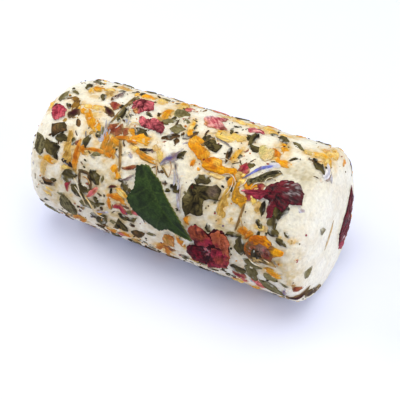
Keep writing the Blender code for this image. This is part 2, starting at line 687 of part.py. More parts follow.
def covered(first, second, outlines):
    """Whether a place on the side is in one of the outlines, or within a small margin of it."""
    for outline in outlines:
        inside = False
        for i, (x1, y1) in enumerate(outline):
            x2, y2 = outline[i - 1]
            run = Vector((x2 - x1, (y2 - y1) / DEGREES_PER_MM))
            off = Vector((first - x1, (second - y1) / DEGREES_PER_MM))
            share = max(0.0, min(1.0, off.dot(run) / run.length_squared))
            if (off - run * share).length < TOPPING_MARGIN:
                return True
            if (y1 > second) != (y2 > second):
                if first < (x2 - x1) * (second - y1) / (y2 - y1) + x1:
                    inside = not inside
        if inside:
            return True
    return False


def clear_of(outlines, row):
    """Whether the whole of a small topping on the side is clear of the outlines."""
    stations = (-1.0, -0.5, 0.0, 0.5, 1.0)
    sides = (-0.5, 0.0, 0.5)
    return not any(
        covered(*spread_on_side(row, station, side * row[3]), outlines)
        for station in stations
        for side in sides
    )


def small_toppings():
    rows = [("flake", *row) for row in FLAKES]
    rows += [("petal", *row) for row in PETALS]
    rows += [("stem", *row) for row in STEMS]
    hidden = [row for row in hidden_toppings() if not UNDERSIDE[0] < row[2] < UNDERSIDE[1]]
    hidden = [row for row in hidden if row[3] * row[4] > FUSED_LEAST_AREA or row[0] == "stem"]
    return rows + hidden[:HIDDEN_FUSED]


def build():
    for obj in list(bpy.data.objects):
        bpy.data.objects.remove(obj)
    scene = bpy.context.scene
    cheese_material = new_material("fresh goat cheese", "#F2ECDD", 0.6)
    cheese = new_object("cheese_log", cheese_mesh, cheese_material)
    scene.collection.objects.link(cheese)

    large = side_toppings()
    outlines = [row[0] for row in large.values()]
    toppings = bpy.data.collections.new("small toppings")
    scene.collection.children.link(toppings)
    for number, (kind, *row) in enumerate(small_toppings()):
        if clear_of(outlines, row):
            maker = flake_mesh(kind, row, flake_on_side)
            toppings.objects.link(new_object(f"{kind}_{number}", maker, cheese_material))
    for number, row in enumerate(CAP_FLAKES):
        maker = flake_mesh("petal", row, flake_on_cap)
        toppings.objects.link(new_object(f"cap_{number}", maker, cheese_material))

    join = cheese.modifiers.new("toppings pressed in", "BOOLEAN")
    join.operation = "UNION"
    join.solver = "MANIFOLD"
    join.operand_type = "COLLECTION"
    join.collection = toppings
    graph = bpy.context.evaluated_depsgraph_get()
    joined = bpy.data.meshes.new_from_object(cheese.evaluated_get(graph))
    cheese.modifiers.remove(join)
    cheese.data = joined
    for piece in list(toppings.objects):
        bpy.data.objects.remove(piece)
    bpy.data.collections.remove(toppings)

    for name, (*shape, colour, roughness) in large.items():
        material = new_material(name.replace("_", " "), colour, roughness)
        scene.collection.objects.link(new_object(name, topping_mesh(*shape), material))
    for name, outline, end, *shape, colour, roughness in END_TOPPINGS:
        material = new_material(name.replace("_", " "), colour, roughness)
        maker = topping_mesh(outline, *shape, lay=cap(end))
        scene.collection.objects.link(new_object(name, maker, material))


build()
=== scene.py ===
"""The looks of a fresh goat cheese log rolled in dried flower petals and herb leaves.

Lengths are in millimetres until a piece is finished, when it is scaled to metres. A place on the
log's side is written as on the unrolled skin: millimetres along the log from its middle, and
degrees round it, from the far side (0) over the top (90) to the near side (180).
"""

import functools
import math
import random

import bmesh
import bpy
import numpy as np
from bpy.props import FloatProperty, FloatVectorProperty, IntProperty, PointerProperty
from mathutils import Matrix, Vector, noise


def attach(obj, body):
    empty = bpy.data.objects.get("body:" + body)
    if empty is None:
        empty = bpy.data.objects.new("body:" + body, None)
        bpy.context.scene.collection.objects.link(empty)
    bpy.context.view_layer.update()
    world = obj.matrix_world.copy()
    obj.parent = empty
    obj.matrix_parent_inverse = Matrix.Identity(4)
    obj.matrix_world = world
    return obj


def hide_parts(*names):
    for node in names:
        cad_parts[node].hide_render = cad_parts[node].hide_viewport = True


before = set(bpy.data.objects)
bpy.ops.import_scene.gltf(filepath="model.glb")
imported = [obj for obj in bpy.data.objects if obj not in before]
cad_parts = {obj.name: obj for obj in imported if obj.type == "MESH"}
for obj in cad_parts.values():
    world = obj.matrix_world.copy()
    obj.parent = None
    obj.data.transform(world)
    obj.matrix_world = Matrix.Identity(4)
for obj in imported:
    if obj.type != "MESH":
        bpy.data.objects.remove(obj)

bl_info = {
    "name": "Goat Cheese Log",
    "version": (1, 0, 0),
    "blender": (4, 5, 0),
    "location": "3D View > Sidebar > Cheese",
    "description": "A goat cheese log rolled in dried petals and herbs, piece by piece",
    "category": "Object",
}

MM = 0.001

# The photograph's width and where the log's middle lies in it, in pixels; the camera's sensor in
# mm, and the nearest that it sees in metres
PHOTO_SIZE = 400
PHOTO_MIDDLE = (189.98, 182.47)
SENSOR_WIDTH = 36
NEAREST_SEEN = 0.01

# Soft boxes: where each is, its power in watts, its place and width in metres, and its colour;
# then what they are aimed at, the sky's colour and the floor's reach
SOFT_BOXES = {
    "top": ("overhead", 3.3, (0.05, 0.02, 0.70), 0.7, (1.0, 0.97, 0.82)),
    "back": ("behind and above", 0.25, (0.0, 0.40, 0.60), 0.5, (1.0, 0.97, 0.87)),
    "front": ("in front", 0.6, (0.10, -0.60, 0.50), 0.5, (0.98, 0.97, 1.02)),
    "right": ("on the right", 1.98, (0.75, -0.10, 0.25), 0.4, (1.0, 0.965, 0.90)),
    "left": ("on the left", 2.6, (-0.70, -0.10, 0.35), 0.4, (1.0, 0.98, 0.90)),
}
AIMED_AT = (0, 0, 0.02)
SKY_COLOUR = (0.88, 0.97, 1.21, 1)
FLOOR_REACH = 4.0

# The cheese's own sizes, as the frame has them. ROUND is the radius of a rim's rounding, REACH
# how far that goes along the log as a share of the radius, and SWING how much the radius varies
# round the log. TAPER narrows the left end, LEAN tips an end, and RELIEF is the soft lumps'
# height.
LENGTH = 92.5
RADIUS = 22.5
LEFT_ROUND = 7.6
RIGHT_ROUND = 15.1
RELIEF = 0.25
RELIEF_SPACING = 7.0
RELIEF_ENDWAYS = 0.4
LEFT_REACH = 1.09
LEFT_SWING = 0.30
LEFT_SWING_FROM = math.radians(35)
RIGHT_REACH = 0.40
RIGHT_SWING = 0.17
RIGHT_SWING_FROM = math.radians(-12)
TAPER = 0.077
TAPER_POWER = 3.7
RIGHT_LEAN_Y = 0.070
RIGHT_LEAN_Z = -0.091
LEFT_LEAN_Y = -0.039
LEFT_LEAN_Z = -0.016
CENTRE_X = -0.27
CENTRE_Y = 0.20
AXIS_HEIGHT = 22.05
END_MARGIN = 0.4
SLOPE_STEP = 0.4
DEGREES_PER_MM = math.degrees(1 / RADIUS)
ROUND = math.tau * RADIUS

# Share of the rings that each stretch of the profile takes, from the left pole to the right one
PROFILE_STOPS = (0.0, 0.09, 0.21, 0.76, 0.92, 1.0)

# Colours

PALETTE = {
    "curd": ("#F1EDDE", "fresh curd"),
    "curd_grey": ("#B5A888", "curd that has dried a little"),
    # Beige mottle of the curd, which on its near side is also painted shade
    "curd_mottle_and_painted_shade": ("#CBB27C", "curd that has turned a little beige"),
    "curd_warm": ("#DDBF80", "curd that has taken up petal juice"),
    "juice": ("#D6AC58", "curd soaked with marigold juice"),
    "leaf_black": ("#1E180E", "darkest dried leaf"),
    "leaf_dark": ("#3C331F", "dark dried leaf"),
    "leaf_olive": ("#61552E", "olive dried leaf"),
    "leaf_grey": ("#7F7650", "grey-green dried leaf"),
    "leaf_brown": ("#6E4E2A", "brown dried leaf"),
    "leaf_pale": ("#C9B872", "pale yellow-green leaf"),
    "leaf_green": ("#2E4219", "blade of the fresh herb leaf"),
    "leaf_green_dark": ("#19250E", "shaded blade of the fresh herb leaf"),
    "leaf_vein": ("#50662A", "veins of the fresh herb leaf"),
    "leaf_rim": ("#7E8030", "rim of the fresh herb leaf"),
    "marigold": ("#E6A012", "marigold petal"),
    "orange": ("#D88206", "orange marigold petal"),
    "deep_orange": ("#A85406", "deep orange folds"),
    "pale_yellow": ("#EBC45E", "pale marigold petal"),
    "lemon": ("#F6DA8C", "palest marigold petal"),
    "ochre": ("#9C7024", "ochre petal"),
    "buff": ("#C6A468", "buff petal"),
    "straw": ("#94703A", "straw"),
    "peach": ("#D09456", "peach petal"),
    "salmon": ("#AE5C42", "salmon petal"),
    "brick": ("#5E1E10", "brick petal"),
    "brick_light": ("#96482C", "sunlit brick petal"),
    "pink": ("#D86A72", "pink of the rose petals"),
    "pink_light": ("#EFB0A8", "palest pink of the rose petals"),
    "rose": ("#A62C42", "rose petal"),
    "crimson": ("#741222", "crimson rose petal"),
    "wine": ("#480C16", "wine red petal"),
    "wine_dark": ("#1E060A", "darkest wine red"),
    "mauve": ("#8C7268", "dried mauve petal"),
    "plum": ("#342022", "plum petal"),
    "violet": ("#584A82", "violet floret"),
    "cornflower": ("#646CC0", "cornflower floret"),
    "pale_blue": ("#B0AFC0", "bleached cornflower floret"),
    # White of the cornflower floret, and the colour of the painted highlights on moist petals
    "petal_white_and_highlight": ("#E6E0E0", "white of the cornflower floret"),
    "twig": ("#54381E", "dried stem"),
    "curd_beige": ("#E4D9BC", "beige patches of the curd"),
    "floor": ("#E7EAFE", "painted floor"),
}


def linear(hex_colour):
    """An sRGB hex colour as linear red, green and blue."""
    channels = [int(hex_colour[i : i + 2], 16) / 255 for i in (1, 3, 5)]
    return tuple(c / 12.92 if c < 0.04045 else ((c + 0.055) / 1.055) ** 2.4 for c in channels)


def mix(one, other, share):
    """One colour turned into the other by a share from 0 to 1."""
    share = min(1.0, max(0.0, share))
    return one * (1 - share) + other * share


# Looks of the small toppings: material, darker colour, lighter colour
LOOKS = {
    "dark": ("leaf", "leaf_black", "leaf_olive"),
    "olive": ("leaf", "leaf_dark", "leaf_olive"),
    "grey": ("leaf", "leaf_olive", "leaf_grey"),
    "brown": ("leaf", "leaf_black", "leaf_brown"),
    "pale": ("leaf", "leaf_pale", "curd_warm"),
    "marigold": ("marigold", "orange", "marigold"),
    "orange": ("marigold", "deep_orange", "orange"),
    "yellow": ("marigold", "marigold", "lemon"),
    "pale_yellow": ("marigold", "pale_yellow", "curd_warm"),
    "ochre": ("marigold", "ochre", "buff"),
    "amber": ("marigold", "ochre", "orange"),
    "straw_yellow": ("marigold", "ochre", "juice"),
    "rust": ("leaf", "leaf_brown", "ochre"),
    "buff": ("marigold", "buff", "curd_warm"),
    "peach": ("marigold", "peach", "curd_warm"),
    "rose": ("rose", "crimson", "rose"),
    "maroon": ("rose", "wine_dark", "wine"),
    "dusty": ("rose", "crimson", "brick_light"),
    "brick": ("rose", "brick", "brick_light"),
    "salmon": ("rose", "brick_light", "pink"),
    "violet": ("floret", "violet", "mauve"),
    "white_floret": ("floret", "pale_blue", "petal_white_and_highlight"),
    "mauve": ("floret", "plum", "mauve"),
    "pale_blue": ("floret", "mauve", "pale_blue"),
    "straw": ("stem", "twig", "straw"),
    "golden_straw": ("stem", "straw", "buff"),
    "hair": ("stem", "curd_warm", "curd"),
    "red_hair": ("stem", "brick_light", "buff"),
    "twig": ("stem", "leaf_black", "twig"),
    "green_stem": ("stem", "leaf_olive", "straw"),
    "sliver": ("leaf", "leaf_black", "plum"),
}

# Small toppings. Each row: along, degrees, length, width, heading, bend. The heading is the turn of
# the long axis from the log's axis towards the near side; the bend is how far each half turns. A
# row that stops after the width or the heading has 0 for the rest.
FULL_ROW = 6
FLAKES = {
    "dark": (
        (-34, 134.6, 4.2, 2.1, -5), (-36.4, 144.8, 5.4, 4.4, 60), (-20.5, 154.4, 4.6, 3, 60),
        (-19.3, 102, 5.6, 1.9, 90), (-10.3, 178.8, 2.8, 1.8, 10), (-7.2, 178.3, 3.2, 1.5, -40),
        (3.8, 119, 3, 1.5, -70), (5.3, 143.4, 3.4, 1.5, 15), (20.4, 87.5, 5.6, 2, 85),
        (36.6, 150.2, 3.4, 2.2), (-22.8, 124.5, 2.2, 1.4), (-17, 102, 1.8, 1), (-19.5, 171, 1.4, 0.9),
        (-18.3, 174.7, 4, 1.2, -25), (-14.5, 160.5, 1.8, 0.8, 90), (7.6, 101, 3, 1, 90),
        (3.3, 146, 1.6, 1), (7.2, 157, 0.9, 0.8), (32, 137, 3.5, 1.6, 75), (32.2, 147.5, 2.8, 1.3, 50),
        (40.3, 148.5, 2.2, 1.1, 35), (25.4, 161, 4.4, 1.3, -8), (36.7, 133.6, 5.4, 3.6, 96),
        (-24.6, 144.5, 0.9, 0.7), (-24.5, 149.5, 0.8, 0.6), (9.5, 202, 3, 1), (18, 205, 3.5, 1),
        (21.5, 202, 2, 0.8), (24, 205, 2.5, 0.9), (37, 205, 3, 1),
    ),
    "olive": (
        (-34.9, 82, 3.8, 1.9, 80), (-25.9, 131.5, 4.5, 2.2, -65), (-29.2, 159.8, 4.6, 3.8),
        (-25.9, 171, 4.8, 3.1, 20), (-18.2, 190.5, 6, 2.6, -60), (-11, 112.4, 4.9, 2),
        (-10.4, 154, 3, 2, 45), (12.7, 131, 4.5, 2.8, 5), (22.9, 96.4, 4.4, 2, 20),
        (27.8, 76.5, 5.2, 2, 45), (41.8, 94, 3.8, 2.5, 30), (35.6, 144.5, 4, 2.5, 75),
        (39.3, 155, 3.3, 1.4, 15), (-28, 91, 2.8, 1.4, 70), (-18.7, 71, 2.5, 1.8), (-12.2, 130, 1.8, 1.3),
        (-8.7, 155.5, 2, 1.6), (3, 92.5, 2.2, 1.1, 90), (13.5, 77, 1.8, 1.2), (13.3, 86, 3.3, 0.9, 70),
        (24, 72, 2, 1.5), (-24, 166.5, 3.5, 3), (-2.5, 205, 2.5, 1.2), (27.4, 190.2, 4.8, 2.9, -12),
        (27.9, 167.5, 4.8, 3.2, 65),
    ),
    "grey": (
        (-40, 99, 4.2, 2.9, 80), (-21.7, 138.5, 2.5, 2.1), (-22, 178, 5.4, 3, 10),
        (-5.2, 95.6, 4.2, 2.3, -25), (-1.2, 100.2, 3.8, 3), (32.8, 79.5, 4.8, 1.7, 40),
        (31.6, 180, 4.6, 2.8), (31.2, 189, 5.6, 3.6, 95), (36.6, 201, 6.4, 4.6, 20), (37, 187, 4.2, 2.6),
        (-37.3, 93, 3.6, 0.8, 25), (-34.5, 70, 3, 1.5), (-1, 187, 3, 1.2), (-14.3, 189, 2, 1.4),
        (-0.6, 89.5, 2.2, 2), (-12, 66.5, 3, 1.5), (-5, 202, 2.2, 1.2), (15, 202, 2.5, 1),
    ),
    "brown": (
        (-36.5, 172, 4.2, 2.7, -10), (-1.8, 108.6, 5.4, 1.6, -25), (3.3, 101.8, 4.5, 1.9, -40),
        (16.7, 108.3, 4.5, 1.7, 75), (39, 90.2, 2.3, 1.8, 40), (-17.8, 198, 2, 1.4),
        (-7.3, 184.5, 1.8, 1.5), (-2.6, 95, 2.8, 0.7, 80), (1.7, 142, 1.6, 1.2), (-39.3, 176, 1.6, 0.8),
        (-20, 202, 3, 1.2),
    ),
    "pale": ((26, 97, 5, 4.6, 90),),
}
PETALS = {
    "marigold": (
        (-31.8, 81, 3.6, 2.6, 20), (-27.4, 111.9, 12, 2.5, 40, 20), (-36.9, 153.6, 4.2, 2, -5),
        (-7.2, 87.6, 6, 2.4, 95), (-10.4, 117.8, 6.4, 3), (-14.3, 145.4, 4, 2.8, 100),
        (29.9, 86.5, 5.8, 2, 62), (31.9, 100.4, 6.2, 2.1, 12), (37.5, 181.6, 5.2, 2.4),
        (-16.6, 73, 4, 3, 60), (-31, 107.4, 4.6, 1.8, 20), (-24.2, 117.6, 5, 1.6, 65),
        (9.6, 113.2, 5.6, 2.8, 55), (5.2, 105.8, 6, 1.8, 60, 10), (21.3, 125, 4.6, 2, 98),
        (20.6, 119.6, 4, 1.6, 12), (-13.5, 114, 3.5, 1.6, 15), (-8.5, 116.5, 3.2, 2, -20),
        (3, 99.8, 4, 1.8, 60), (6.5, 104.2, 4.5, 1.8, 35), (26.4, 124.6, 5, 2.2, 20),
        (25.2, 137.5, 3.5, 2.2, 40), (-17, 124.5, 4, 1.6, 20),
    ),
    "yellow": (
        (-30, 104, 8.6, 2, -20, 12), (-43.4, 107.5, 4.4, 1.8, 75), (-10.9, 158.6, 5.4, 2.2, 30, 20),
        (1.9, 93, 5.4, 1.5, 72), (18.9, 106, 5.2, 1.7, 92), (39.6, 81.8, 6.2, 2.6, -5),
        (-6, 67, 6, 3, 80), (21.2, 66, 4.8, 4, 90), (-33, 86.4, 3.2, 1.5, 60), (-28.5, 79, 3, 2),
        (-20.5, 72, 2.6, 2), (12, 66, 7, 2), (11, 89.5, 3.5, 1.5, 20), (23.6, 122, 3.5, 2.6, 80),
        (42.4, 84, 4, 1.6, 90), (41.6, 70, 7, 2, 90),
    ),
    "orange": (
        (-27.9, 141.5, 10.6, 1.8, 92, -10), (-26.6, 138.4, 3.4, 2.2, 10), (-12.8, 164.8, 7, 2, 8),
        (10.8, 162.5, 3, 1.4, 95), (8.9, 183, 5, 1.8, 65), (28.6, 94.2, 4.8, 1.7, 65),
        (28, 156.6, 3.8, 2.1), (2, 203.5, 6.6, 5.6, 20), (-27.6, 204, 5.6, 4.2, 30),
        (-22.2, 134.8, 7.6, 1.2, -12, 16), (-17.6, 135.2, 4, 1.4, 18), (-15.7, 120.3, 4.6, 1.3, -20),
        (-15, 170, 4.8, 1.2, 92), (-16, 203, 4, 2), (8, 122, 3, 1.2, 90), (41, 90, 1.8, 1.2),
        (-20.5, 122.5, 3.4, 1.4, 60), (-12, 120.6, 5, 1.1, 5), (8.8, 111.6, 3.5, 2, 50),
        (29.8, 158, 3.4, 1.6, -30), (-10.5, 199, 4.5, 2, 10), (39.4, 171, 2.4, 1, 20),
    ),
    "pale_yellow": (
        (12.9, 93.4, 7.4, 3), (-12.4, 72, 4.4, 2.6, 60), (-30.5, 155, 3, 1.5), (-36.5, 179, 3, 0.9),
        (-37.5, 184, 3, 0.7), (-10.5, 125, 3, 1.4), (32.5, 150, 3, 1.4), (16, 90, 6, 2.5, -5),
        (16, 68, 6, 2), (24, 92, 2.5, 1), (-2.5, 125, 4, 1.6, 40), (36.5, 83, 3.6, 1.6, 10),
        (28.5, 133, 3, 1.6, 60),
    ),
    "ochre": (
        (24, 152.5, 2.6, 1.6), (-27.3, 83.6, 3.4, 2, 80), (-8, 206, 4, 1.6), (-31, 208, 4, 1.6),
        (22.5, 121, 3.5, 3), (12, 203, 4, 1.6), (42, 152, 2, 1), (30.6, 137, 3, 1.6, 60),
    ),
    "amber": (
        (-18.3, 129.2, 6.6, 1.7, 86, 8), (-19.9, 127.6, 6.2, 1.4, 80), (-16.8, 130.6, 5.4, 1.4, 94),
        (-7.4, 127.6, 10, 1.7, 14, -10), (-14, 146.2, 3.8, 1.8, 100),
    ),
    "straw_yellow": (
        (20.6, 142.5, 9.8, 2.4, 91), (-31, 142, 7, 2.6, 95, 8), (-29.6, 150, 4, 1.6, 80),
        (-31.6, 131, 4, 1.6, 75),
    ),
    "rust": ((-36, 101.4, 4.6, 1.7, 12, 10), (-34.2, 106.4, 4.6, 1.9, 80, -15)),
    "buff": ((-38.8, 163, 3.6, 1.5, 90), (16, 125.5, 6, 1.1, 0, 10), (38.5, 151.5, 2.5, 1)),
    "peach": (
        (-30.8, 92, 2, 1), (9, 66, 4, 2.4), (40, 72, 3, 2), (27, 68, 4, 1.4), (-26, 68, 4, 2),
        (-4.4, 119, 3, 1.8, 40), (-38.5, 158, 2.4, 1.6, 100),
    ),
    "rose": (
        (-29.3, 167.5, 5.2, 1.4, 103), (-11.3, 172.8, 5.2, 2.2), (26.9, 197.4, 4.2, 3),
        (22.9, 114.4, 4.2, 2.5, 96), (43.7, 166.3, 1.5, 1.2), (28.4, 128.6, 6.4, 3.4, -14, -8),
    ),
    "maroon": (
        (-33.5, 112.8, 3.8, 3.2, 85), (-23.6, 102.8, 5.4, 1.8, 35), (-25, 88, 3, 1, 95),
        (-17.3, 106.5, 1.6, 1), (-9.3, 169.5, 2.2, 0.8), (42.6, 209, 5, 2, 10),
        (-25.2, 187.5, 3.9, 1.1, -55), (-14.2, 157, 3.6, 0.9, -18),
    ),
    "dusty": ((-23, 95.6, 3.6, 2.8),),
    "brick": (
        (-18.7, 115.6, 4.9, 3.7), (-15.3, 114.4, 2.6, 2.4), (-31, 81.5, 1.6, 1.2),
        (-10.3, 139.3, 5, 1.1, -22), (4.5, 196.5, 4, 1.6), (43.5, 194.5, 5, 1.3, 65),
    ),
    "salmon": (
        (-5.8, 170.6, 3.8, 1.7), (-20.9, 167, 5.6, 1.4, -50), (32.4, 200.4, 6, 3.2, 95),
        (-12.5, 203, 4, 1.6), (-3.2, 73, 3, 2.6), (27.5, 204, 3.5, 1.2),
    ),
    "violet": ((1.3, 123, 7.6, 2.2, -50), (40.2, 201, 5, 1.2, 105)),
    "white_floret": (
        (29.9, 106.6, 4.6, 2, -50, 20), (43.4, 91, 6.4, 1.3, 72, 28), (-16.4, 106.4, 3, 1, 20, 30),
    ),
    "mauve": (
        (-24.4, 82.5, 6, 1.5, 95), (-10.2, 147, 5, 0.9, -28), (3.3, 128, 3, 0.6, 60),
        (44, 92.5, 4, 0.6, 85), (13, 98.8, 8, 0.7, 12, 8),
    ),
    "pale_blue": (
        (-21.7, 117.5, 6.4, 0.6, 72, 8), (-20.9, 119.2, 6.8, 0.6, 77, -6), (-20.2, 117.5, 5, 0.5, 82, 10),
        (-22.4, 121, 4, 0.4, 66), (-17.5, 181.5, 4.5, 1, -25), (4.2, 137, 6, 0.6, 70, 8),
        (5, 135, 5, 0.5, 60), (6.3, 144, 7, 0.7, 80, -6), (7.1, 146.5, 6, 0.6, 84, 5),
        (7.4, 153, 4, 0.8, 70), (43.8, 89, 4, 0.7, 50, 20),
    ),
}
STEMS = {
    "green_stem": ((-20.1, 96, 12.8, 0.9, 95, 6), (9, 103, 5, 1, -60), (0.7, 134, 4, 0.6, 40)),
    "straw": ((-14, 134, 9.6, 0.9, 72, 12), (26.4, 147.6, 8, 0.75, 97, 6)),
    "sliver": ((-30.2, 150.6, 4.3, 1.2, 14), (-6.9, 123.6, 4.4, 0.8, -14)),
    "hair": (
        (20.6, 122.5, 6.5, 0.24, 20, 70), (17, 112.6, 7, 0.24, 5, 60), (24.6, 126, 5, 0.24, -60, -50),
        (21.6, 130, 5.5, 0.24, 95, 40), (28.5, 121.5, 6, 0.26, -25, 60),
        (30.6, 116.8, 4.5, 0.24, -50, 80), (-16.2, 104.5, 5, 0.3, 60, 50), (-14.2, 107, 4, 0.28, -30, 60),
        (-17.4, 99, 4, 0.28, 100, -40), (-13, 111.2, 3, 0.26, 15, 50), (-17.8, 110, 5, 0.3, 80, 70),
        (9.8, 97.4, 5, 0.26, 15, 60), (36.4, 171, 6, 0.3, 15, 30), (32.4, 176.5, 6, 0.3, 20, -30),
        (-24, 172, 7.5, 0.28, 55, 45), (-21, 176, 6.5, 0.26, 60, 50), (-19.4, 183, 6, 0.26, 50, -40),
        (-31.6, 160, 5, 0.35, 90, 40), (-25.5, 164, 5.5, 0.28, 60, 45),
    ),
    "red_hair": (
        (2.6, 131, 5, 0.22, 75, 40), (-1.6, 134, 4, 0.22, 70, 30), (-22.6, 156.8, 4, 0.35, 30, 70),
        (27.5, 150.6, 4, 0.25, 60, 20),
    ),
    "twig": (
        (-18.9, 84.5, 6, 0.5, 88, 10), (-25.5, 159, 5, 0.7, 85), (44.6, 221, 6.5, 1, 88),
        (44.9, 236, 4.5, 0.8, 92), (-24, 153, 4.5, 0.9, 0, 10), (-21.9, 159, 5, 1.2, 75),
        (24, 106.5, 2, 0.35, -55), (19.8, 112.5, 2.6, 0.35, -30), (20.4, 117, 2.6, 0.35, 20),
        (21, 110.8, 2, 0.35, 50),
    ),
}

# Rows for the end caps: look, end, across, height, length, width, heading, bend
CAP_FLAKES = (
    ("golden_straw", 1, -5.4, 2.9, 8.6, 0.8, 48, 0), ("grey", 1, -9.7, 7.8, 2.4, 2, 80, 0),
    ("grey", 1, -16.9, -1.7, 3.8, 2.6, 70, 0), ("brown", 1, -11.6, -13, 4.4, 1.6, -40, 0),
    ("marigold", 1, 9.6, 16.4, 3, 1.4, -15, 0), ("olive", -1, -9.5, 5, 6.4, 3, 55, 0),
    ("marigold", -1, 7.5, -8, 5.2, 3, -50, 0), ("grey", -1, 5.5, 11.5, 4.6, 2.4, 15, 0),
    ("rose", -1, -5, -9.5, 4.6, 2.2, 80, 0),
)

# The far side and the underside carry the same mix, drawn by the rule that shaped the frame
HIDDEN_FROM = 212
HIDDEN_TO = 417
HIDDEN_TRIES = 900
HIDDEN_SPACING = 5.6
HIDDEN_SEED = 41
HIDDEN_REACH = 43
UNDERSIDE = (246, 294)
HIDDEN_LENGTHS = (0.65, 1.35)
HIDDEN_WIDTHS = (0.75, 1.3)

# Each kind's share of the draws, mean length, mean width and most bend
HIDDEN_KINDS = {
    "flake": (10, 4.4, 2.8, 0),
    "petal": (9, 6.2, 2.5, 25),
    "stem": (1, 8, 0.9, 25),
}
HIDDEN_LOOKS = {
    "flake": ("dark", "olive", "olive", "grey", "brown"),
    "petal": (
        "marigold", "marigold", "orange", "orange", "yellow", "pale_yellow", "ochre", "rose", "rose",
        "maroon", "brick", "salmon", "violet", "pale_blue",
    ),
    "stem": ("straw", "twig", "green_stem"),
}

# Along the far rim, which the photograph shows edge on, petals outnumber leaves
RIM_FROM = 380
RIM_LOOKS = ("yellow", "orange", "marigold", "peach", "pale_yellow", "grey", "salmon", "olive")

# Shreds of petal and leaf between the toppings: where, their length and width as a share of it,
# their bend, and their looks and kinds. They are rarer towards the right and in the bare patches.
SHRED_SEED = 5
SHRED_ALONG = (-45, 44)
SHRED_LENGTHS = (0.7, 2.6)
SHRED_SLIMNESS = {"flake": (0.3, 0.7), "petal": (0.3, 0.7), "stem": (0.12, 0.3)}
SHRED_BEND = 20
SPARSE_FROM = 25
SPARSE_SHARE = 0.6
BARE_SHARE = 0.15
SHRED_LOOKS = (
    ("dark", "flake"), ("dark", "flake"), ("olive", "flake"), ("olive", "flake"), ("brown", "flake"),
    ("grey", "flake"), ("brown", "stem"), ("twig", "stem"), ("straw", "stem"), ("marigold", "petal"),
    ("orange", "petal"), ("yellow", "petal"), ("ochre", "petal"), ("buff", "petal"), ("rose", "petal"),
    ("dusty", "petal"), ("mauve", "stem"), ("pale_blue", "petal"),
)

# Bare patches: along, degrees and reach in mm
BARE = (
    (38, 112, 8), (41, 165, 9), (38, 137, 4), (17, 150, 4.5), (0, 187, 4.5), (-8, 143, 4.5),
    (-39, 160, 5), (26, 143, 3), (-36, 185, 5), (30, 92, 3), (42, 195, 5), (-22, 150, 2.5), (-5, 120, 3),
    (33, 86, 3), (-33, 125, 2.5), (24, 80, 4),
)

# Crumbs: where along, their size in mm and how it strays, how flat and slim they are, how far
# they stand off the skin in mm, and their looks
CRUMB_SEED = 23
CRUMB_REACH = 45
CRUMB_SIZES = (0.14, 0.42)
CRUMB_STRAY = (0.7, 1.2)
CRUMB_FLATNESS = (0.3, 0.6)
CRUMB_SLIMNESS = (0.45, 1.0)
CRUMB_LIFT = 0.1
CRUMB_LOOKS = (
    "dark", "dark", "olive", "olive", "grey", "brown", "brown", "orange", "marigold", "rose",
    "maroon", "violet", "straw",
)

# Filaments arch over what lies under them: their looks, and how high, in mm
HAIRS = ("hair", "red_hair")
HAIR_ARCH = 0.7

# Share of the half width at five stations from one tip to the other, how far it strays, and how
# torn the edge is
PLANS = {
    "flake": ((0.55, 0.95, 1.0, 0.85, 0.4), 0.3, 0.08),
    "petal": ((0.3, 0.7, 1.0, 0.95, 0.5), 0.12, 0.26),
    "stem": ((0.6, 1.0, 1.0, 0.9, 0.5), 0.1, 0.12),
}

# How small toppings vary: the ways that they fold, the painted shade that makes one half of a flake
# lighter than the other, and the ranges of their arch, tilt, brightness and cut ends, and of a petal's
# sway, wave and twist
FOLD_WAYS = (-1.0, 0.5, 1.0)
HALF_SHADES = (-0.3, 0.3)
ARCHES = (-0.06, 0.1)
TILTS = (-0.1, 0.1)
SHADES = (0.82, 1.18)
CUTS = (-0.5, 0.5)
SWAYS = (-0.25, 0.25)
WAVES = (0.06, 0.16)
TWISTS = (-0.2, 0.2)
SEEDS = (0, 50)
SMEAR_SEED = 31.0

# Torn and sunken edges take some width, which these give back
WIDEN = 1.12
SOFT_WIDEN = 0.14

# The mesh of a small topping has four columns for each COLUMN_LENGTH and a row for each ROW_WIDTH,
# in mm, and one shorter than SHORT has only a few columns. One that is no longer than LOW_LENGTH
# stands up by LOW_SHARE as much.
COLUMN_LENGTH = 1.7
ROW_WIDTH = 0.45
SHORT = 2.7
LOW_LENGTH = 2.6
LOW_SHARE = 0.5

# Least height of a small topping over the skin and of any sheet over the floor, where a sheet's
# rim starts, as a share of the way out, how much it drops, and how near two points are merged;
# heights and distances are in mm
LEAST_HEIGHT = 0.06
FLOOR_GAP = 0.01
RIM = 0.95
RIM_DROP = 0.12
WELD = 0.004

# How outlines are torn: tears per mm, and each size's share
TEARS = ((1.3, 1.0), (3.4, 0.6))

# Each material's small toppings: their piece, the colour that their edges fade to, how far those
# sink in the curd from 0 to 1, and the fold along their middle in mm. On the end caps all sink
# and fold alike.
SMALL_TOPPINGS = {
    "leaf": ("leaf_flakes", "curd", 0.0, 0.14),
    "marigold": ("marigold_petals", "juice", 1.0, 0.05),
    "rose": ("rose_pieces", "curd_warm", 0.35, 0.1),
    "floret": ("florets", "curd", 0.6, 0.1),
    "stem": ("stems", "curd_warm", 0.2, -0.15),
}
CAP_SOFTNESS = 0.3
CAP_FOLD = 0.05

